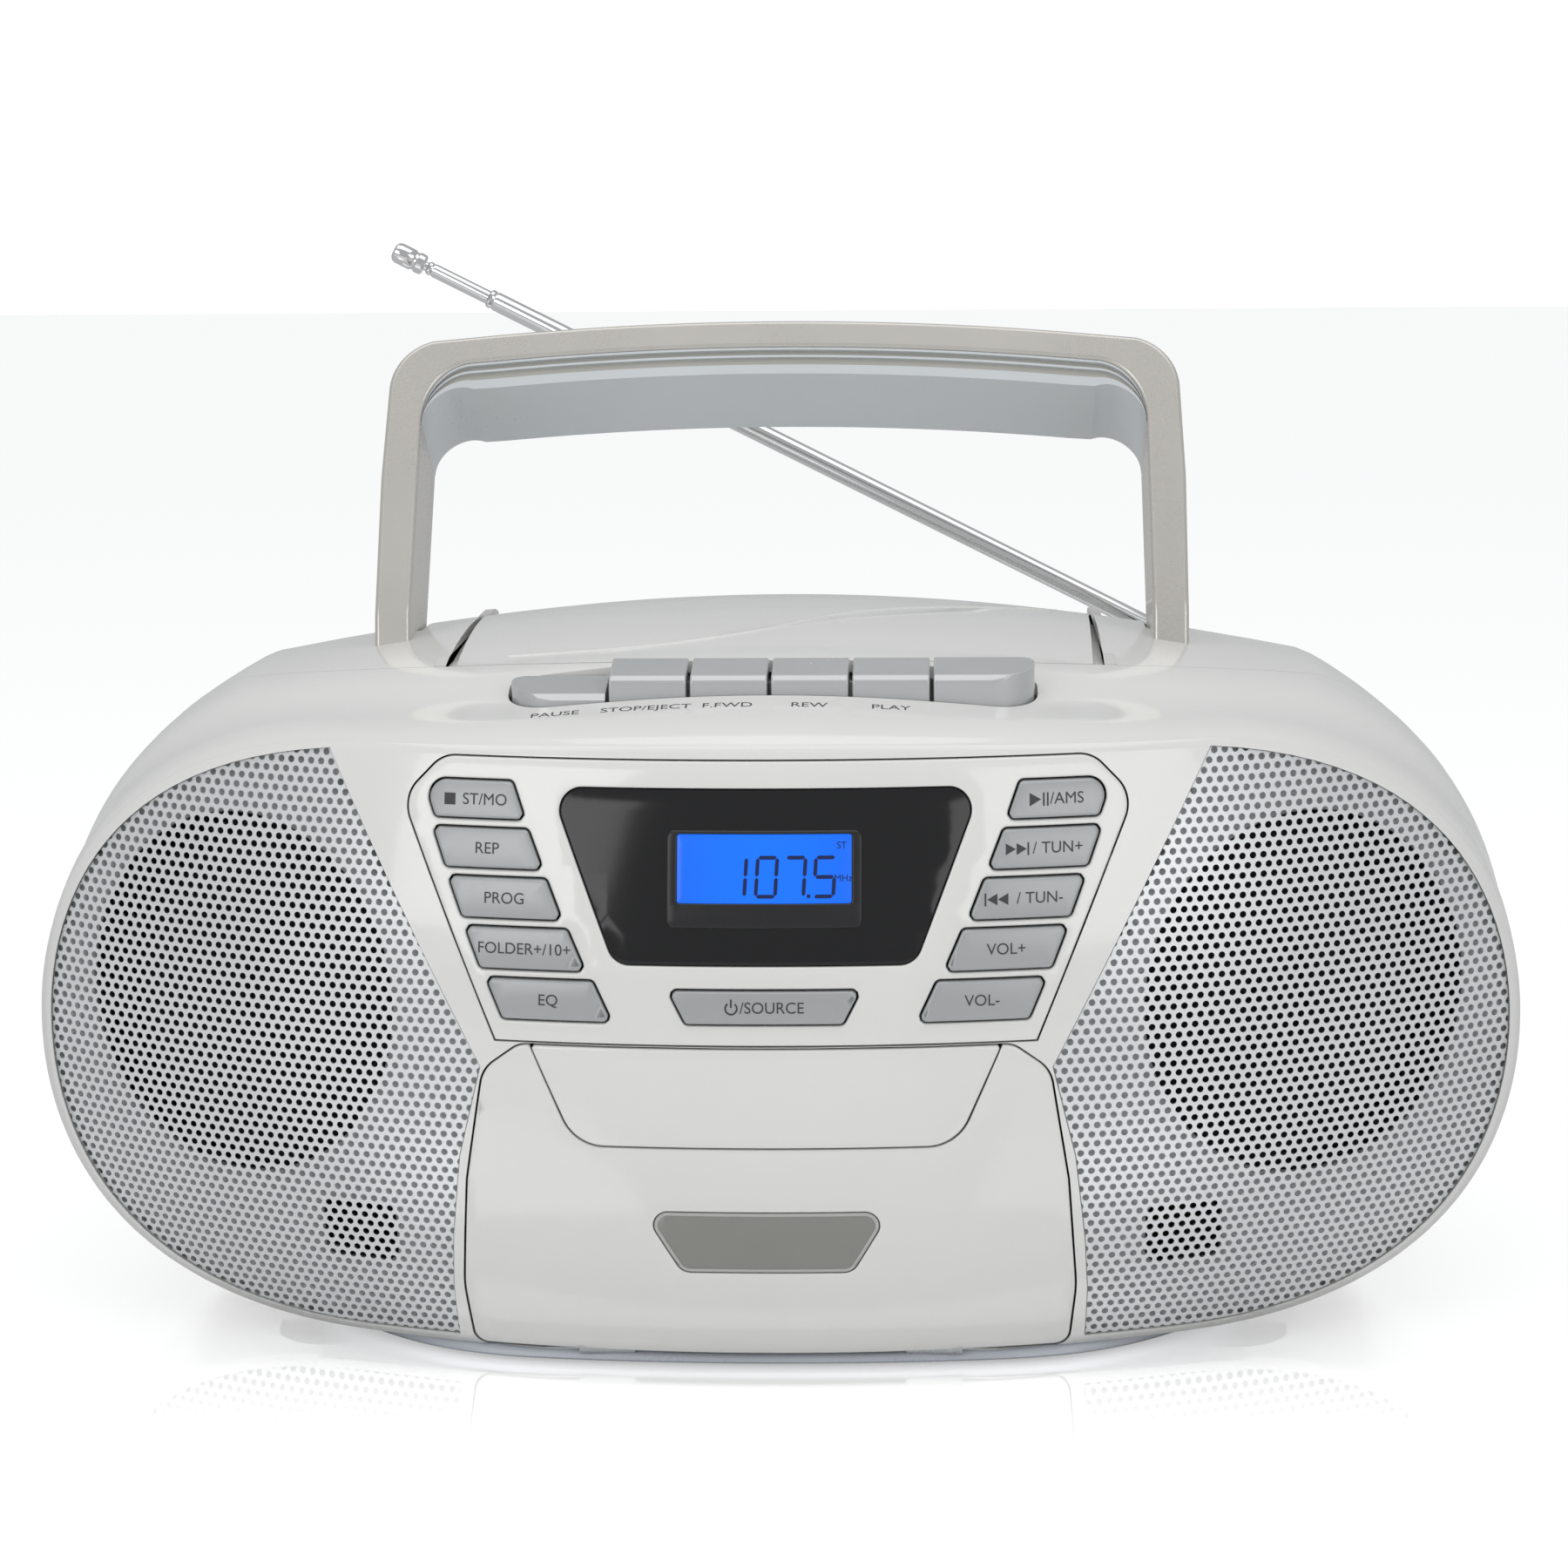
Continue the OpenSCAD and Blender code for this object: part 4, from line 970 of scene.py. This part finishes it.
shoulder_tree = shell_bvh(front_shell)
KEY_PITCH, WORDS_Y = 16.85, -73.5
for place, words in enumerate(("PAUSE", "STOP/EJECT", "F.FWD", "REW", "PLAY")):
    x = -33.7 + (place - 0.5) * KEY_PITCH - (2 if place == 0 else 0)
    name = "word_" + words.replace("/", "_").replace(".", "_")
    flat, faces = words_mesh(name, words, 3.6, 0)
    word = add_object(name, on_shell([(p.x + x, p.y + WORDS_Y) for p in flat], shoulder_tree), faces, ink)
    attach(word, "cabinet")

# ---------- Disc lid and deck ----------
# The lid is one thin white moulding that carries on the curve of the top, hinged at the back, with a fine
# raised swoosh across it. The deck below it is matt white with a black hub and the laser's sled.
lid = combine(copied(outer, "lid_shell"), seam_drum(SEAM_R - 0.5), "INTERSECT")
combine(lid, inner, "DIFFERENCE", keep=True)
LID = [(-67.4, -70), (67.4, -70), (69.4, 40), (68.5, 75), (-68.5, 75), (-69.4, 40)]
combine(lid, prism(rounded(LID, [0, 0, 30, 14, 14, 30]), 139.2, 200, "z"), "INTERSECT")
skinned(lid)
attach(lid, "disc_lid")
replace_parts(lid, "disc_lid")

# ---------- Battery door and tray ----------
# The battery door continues the curve of the back and pulls straight out of it, by a round finger dish near its
# top. The black tray behind it keeps inside the wall.
def rear_at(height):
    """y of the back in the middle, at one height."""
    cast = shell_bvh(outer).ray_cast(Vector((0, 0.2, height * MM)), Vector((0, -1, 0)))
    return cast[0].y / MM


DISH_Z, DISH_R, DISH_DEPTH = 62, 8, 0.9
cover = combine(copied(outer, "battery_cover"), inner, "DIFFERENCE", keep=True)
combine(cover, box(-61.4, 61.4, 90, 112, 14.6, 67.4), "INTERSECT")
dish = prism(ellipse(0, DISH_Z, DISH_R, DISH_R, 47), rear_at(DISH_Z) - DISH_DEPTH, 112, "y")
combine(cover, dish, "DIFFERENCE")
skinned(cover)
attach(cover, "battery_door")
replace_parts(cover, "battery_door")
tray_black = finish("black_tray", (0.02, 0.02, 0.022), 0.45)
tray = softened("battery_box", "battery_tray", tray_black, 0.01, "cabinet", 1)
combine(tray, inner, "INTERSECT")
bpy.data.objects.remove(outer)


def bead(name, points, radius, material):
    """A thin round bead along a line of millimetre points."""
    curve = bpy.data.curves.new(name, "CURVE")
    curve.dimensions = "3D"
    curve.bevel_depth = radius * MM
    curve.bevel_resolution = 2
    curve.use_fill_caps = True
    line = curve.splines.new("POLY")
    line.points.add(len(points) - 1)
    for spot, point in zip(line.points, points):
        spot.co = (*(c * MM for c in point), 1)
    mesh = meshed(curve)
    mesh.materials.append(material)
    mesh.shade_smooth()
    return linked(name, mesh)


swoosh = np.concatenate([
    bezier((-57, -38), (-38, -42), (-20, -45), (0, -24), 20),
    bezier((0, -24), (14, -2), (34, 22), (62, 30), 20)[1:],
])
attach(bead("lid_swoosh", on_shell(swoosh, shell_bvh(lid), -0.15), 0.45, white), "disc_lid")

# ---------- Handle ----------
# A wide flat arch of warm silver painted plastic with rounded edges. A paler insert lines its inside, stepped
# in fine lips below the front edge, and the arms swing on pins in the cabinet behind the lid. Two narrow pale
# silver lips stand for two bright lines along the insert: painted highlight. Darker warm grey bands lie between
# them, and the underside is in the insert's own pale silver.
handle_silver = finish("handle_silver_paint", (0.62, 0.6, 0.56), 0.3, metallic=0.55, coat=0.2, drift=0.02)
# Pale silver: the insert underside's own colour, and painted highlight on the two narrow lips.
insert_silver_and_highlight = finish("insert_silver_paint_and_painted_highlight", (0.66, 0.69, 0.71), 0.33, metallic=0.3, drift=0.02)
insert_khaki = finish("insert_warm_grey", (0.5, 0.49, 0.45), 0.35, metallic=0.3, drift=0.02)
HALF, ARM, LENGTH, LEAN, PIVOT_Z, BAR = 90.5, 8.0, 98.5, 28, 118, 6.8


def arch(x):
    """Height over the pivots of the top edge, which bows a little."""
    return LENGTH - 2.4 * x * x / 3250


def leaned(made):
    """Moves a handle part from its own plane to its place over the pivots."""
    place = Matrix.Translation((0, 0, PIVOT_Z * MM)) @ Matrix.Rotation(math.radians(-LEAN), 4, "X")
    made.data.transform(place)
    made.data.update()
    return made


def half_outer():
    turn = np.radians(np.arange(0, 76, 5))
    corner = np.stack([HALF - 0.9 - 13 + 13 * np.cos(turn), arch(75) - 13 + 13 * np.sin(turn)], 1)
    top = np.arange(70, 0, -5.0)
    return np.concatenate([[(HALF, -11), (HALF, 30), (HALF, 60)], corner, np.stack([top, arch(top)], 1)])


def half_inner():
    turn = np.radians(np.arange(0, 86, 5))
    foot = HALF - ARM - 0.6
    corner = np.stack([70 + (foot - 70) * np.cos(turn), 73.1 + (arch(70) - BAR - 73.1) * np.sin(turn)], 1)
    top = np.arange(66, 0, -5.0)
    return np.concatenate([[(HALF - ARM, -11), (HALF - ARM, 30)], corner, np.stack([top, arch(top) - BAR], 1)])


def whole(half, crown):
    return np.concatenate([half, [(0, crown)], half[::-1] * (-1, 1)])


frame_path = np.concatenate([whole(half_outer(), arch(0)), whole(half_inner(), arch(0) - BAR)[::-1]])
arch_frame = facing_out(prism(frame_path, -15, 15, "y", "handle_arch", handle_silver))
foot_shape = [(-9, 10), (-15, 26), (-15, 110), (15, 110), (15, 26), (9, 10), (10.5, 0), (8, -8), (0, -11),
              (-8, -8), (-10.5, 0)]
combine(arch_frame, facing_out(side_prism(foot_shape, -95, 95)), "INTERSECT")
leaned(painted(edged(arch_frame, 1.1), handle_silver))
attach(arch_frame, "handle")
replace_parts(arch_frame, "handle_frame")

# The insert's line, the way into the opening at each of its points, and how much of its depth it has there.
liner = whole(half_inner()[2:], arch(0) - BAR)
steps = np.diff(liner, axis=0)
along = np.concatenate([[0], np.cumsum(np.hypot(*steps.T))])
tangent = np.gradient(liner, axis=0)
tangent /= np.linalg.norm(tangent, axis=1)[:, None]
into = np.stack([-tangent[:, 1], tangent[:, 0]], 1)
fade = eased(np.clip(np.minimum(along, along[-1] - along) / 22, 0.02, 1))


def lip(name, start, end, setback, material, round_edge):
    """One stepped lip of the insert, between two offsets from the frame."""
    near = liner + into * (start * fade)[:, None]
    far = liner + into * (end * fade)[:, None]
    half = 14.6 - setback
    made = facing_out(prism(np.concatenate([near, far[::-1]]), -half, half, "y", name, material))
    if round_edge:
        edged(made, round_edge, 3, 60)
    leaned(made)
    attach(made, "handle")
    return made


# The first lip and the bead are narrow pale silver bands that paint the two bright highlight lines.
first_lip = lip("handle_lip_highlight_line", 0.0, 0.55, 0.0, insert_silver_and_highlight, 0)
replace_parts(first_lip, "handle_grip")
lip("handle_lip_groove", 0.5, 1.8, 1.1, insert_khaki, 0)
lip("handle_lip_highlight_bead", 1.75, 2.3, 0.2, insert_silver_and_highlight, 0)
lip("handle_lip_strip", 2.25, 4.3, 1.0, insert_khaki, 0)
lip("handle_underside", 4.25, 6.5, 0.0, insert_silver_and_highlight, 0.9)


# ---------- Aerial ----------
# Three chromed brass tubes that slide into one another, with rolled ends and a turned cap. They stand on a
# black swivel at the back, which lets them lean to either side.
def turned(name, profile, start, direction, material, body):
    """A turned part: profile holds (distance along the axis, radius) pairs."""
    to_axis = np.array(Vector(direction).to_track_quat("Z", "Y").to_matrix())
    rings = []
    for at, radius in profile:
        ring = np.column_stack([ellipse(0, 0, radius, radius, 48), np.full(48, at)])
        rings.append(np.array(start) + ring @ to_axis.T)
    made = smooth(facing_out(lofted(name, rings, material)), 35)
    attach(made, body)
    return made


chrome = finish("chromed_brass", (0.72, 0.72, 0.73), 0.1, metallic=1.0, drift=0.01, grain=0.01)
black_abs = finish("black_abs", (0.02, 0.02, 0.022), 0.4)
tilt = math.radians(26.7)
MAST = (-math.cos(tilt), 0, math.sin(tilt))
ROOT = (100, 103, 127.3)
TUBE = [(0.2, 1.8), (0.8, 2.3), (193.2, 2.35), (193.8, 2.1), (194.4, 2.35), (195, 2.3), (195.4, 1.8)]
MID = [(17, 1.5), (17.4, 1.68), (210, 1.7), (210.5, 1.5), (211, 1.7), (211.6, 1.65), (212, 1.3)]
TIP = [(24, 0.9), (24.4, 1.08), (212.7, 1.1), (212.8, 2.2), (213.2, 2.55), (214.6, 2.6), (215, 2.3), (215.5, 2.25),
       (216, 2.6), (219.6, 2.6), (220.5, 2.3), (221, 1.6)]
for node, body, profile in (("aerial_tube", "aerial_base", TUBE), ("aerial_mid", "aerial_mid", MID),
                            ("aerial_tip", "aerial_tip", TIP)):
    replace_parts(turned("turned_" + node, profile, ROOT, MAST, chrome, body), node)
softened("aerial_swivel", "aerial_pivot", black_abs, 0.2, "aerial_base")

# ---------- Base, feet and rear ----------
# A pale blue-grey skirt closes the underside and stands on four rubber feet. The battery door clips into the back
# between the vents and the moulded mains inlet.
skirt_grey = finish("skirt_plastic", (0.5, 0.53, 0.58), 0.3, coat=0.2)
rubber = finish("rubber", (0.03, 0.03, 0.03), 0.7, drift=0.08, grain=0.3)
skirt_half = [(0, -86.6), (34, -84.6), (62, -80), (82, -66), (103, -37), (106, 0), (104, 50), (92, 80), (70, 90),
              (0, 91)]
skirt_line = np.array(skirt_half + [(-x, y) for x, y in reversed(skirt_half[1:-1])], float)
for _ in range(3):
    here, ahead = skirt_line, np.roll(skirt_line, -1, axis=0)
    skirt_line = np.stack([here * 0.75 + ahead * 0.25, here * 0.25 + ahead * 0.75], 1).reshape(-1, 2)
SKIRT_FOOT = 0.6
skirt_top = under_z(skirt_line[:, 0]) - 0.1
skirt_rings = []
for amount, share in ((8, 0), (1.0, 0), (0.3, 0.1), (0, 0.25), (0.2, 0.6), (1.0, 1.0), (6, 1.0)):
    ring = inset(skirt_line, amount)
    skirt_rings.append(np.column_stack([ring, SKIRT_FOOT + (skirt_top - SKIRT_FOOT) * share]))
skirt = smooth(facing_out(lofted("base_skirt", skirt_rings, skirt_grey)), 50)
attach(skirt, "cabinet")
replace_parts(skirt, "base")
softened("rubber_feet", "feet", rubber, 0.5, "cabinet")
softened("ac_inlet", "mains_inlet", black_abs, 0.4, "cabinet")

# ---------- Inside parts ----------
# What shows through the openings or once something is opened keeps its own shape and takes its real finish.
steel = finish("zinc_plated_steel", (0.6, 0.61, 0.62), 0.3, metallic=0.9, drift=0.05)
brass = finish("brass", (0.7, 0.52, 0.22), 0.25, metallic=1.0)
board = finish("green_board", (0.02, 0.16, 0.06), 0.4, coat=0.4, drift=0.1)
cream = finish("cream_nylon", (0.7, 0.68, 0.6), 0.4)
deck_white = finish("matt_white_abs", (0.7, 0.7, 0.68), 0.4)
cone = finish("speaker_cone", (0.008, 0.008, 0.009), 0.7, grain=0.2)
INSIDE = {
    steel: ["tape_chassis", "head_plate", "tape_motor", "hinge_pins", "battery_springs", "transformer",
            "case_screws", "capstan_flywheel"],
    brass: ["motor_pulley"],
    board: ["main_board", "button_board"],
    cream: ["supply_spindle", "takeup_spindle"],
    deck_white: ["disc_deck"],
    cone: ["left_speaker", "right_speaker", "drive_belt", "pinch_roller"],
    black_abs: ["cassette_holder", "disc_turntable", "laser_sled", "lcd_module"],
}
for material, nodes in INSIDE.items():
    for node in nodes:
        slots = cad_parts[node].data.materials
        if not slots:
            slots.append(material)
        for place in range(len(slots)):
            slots[place] = material
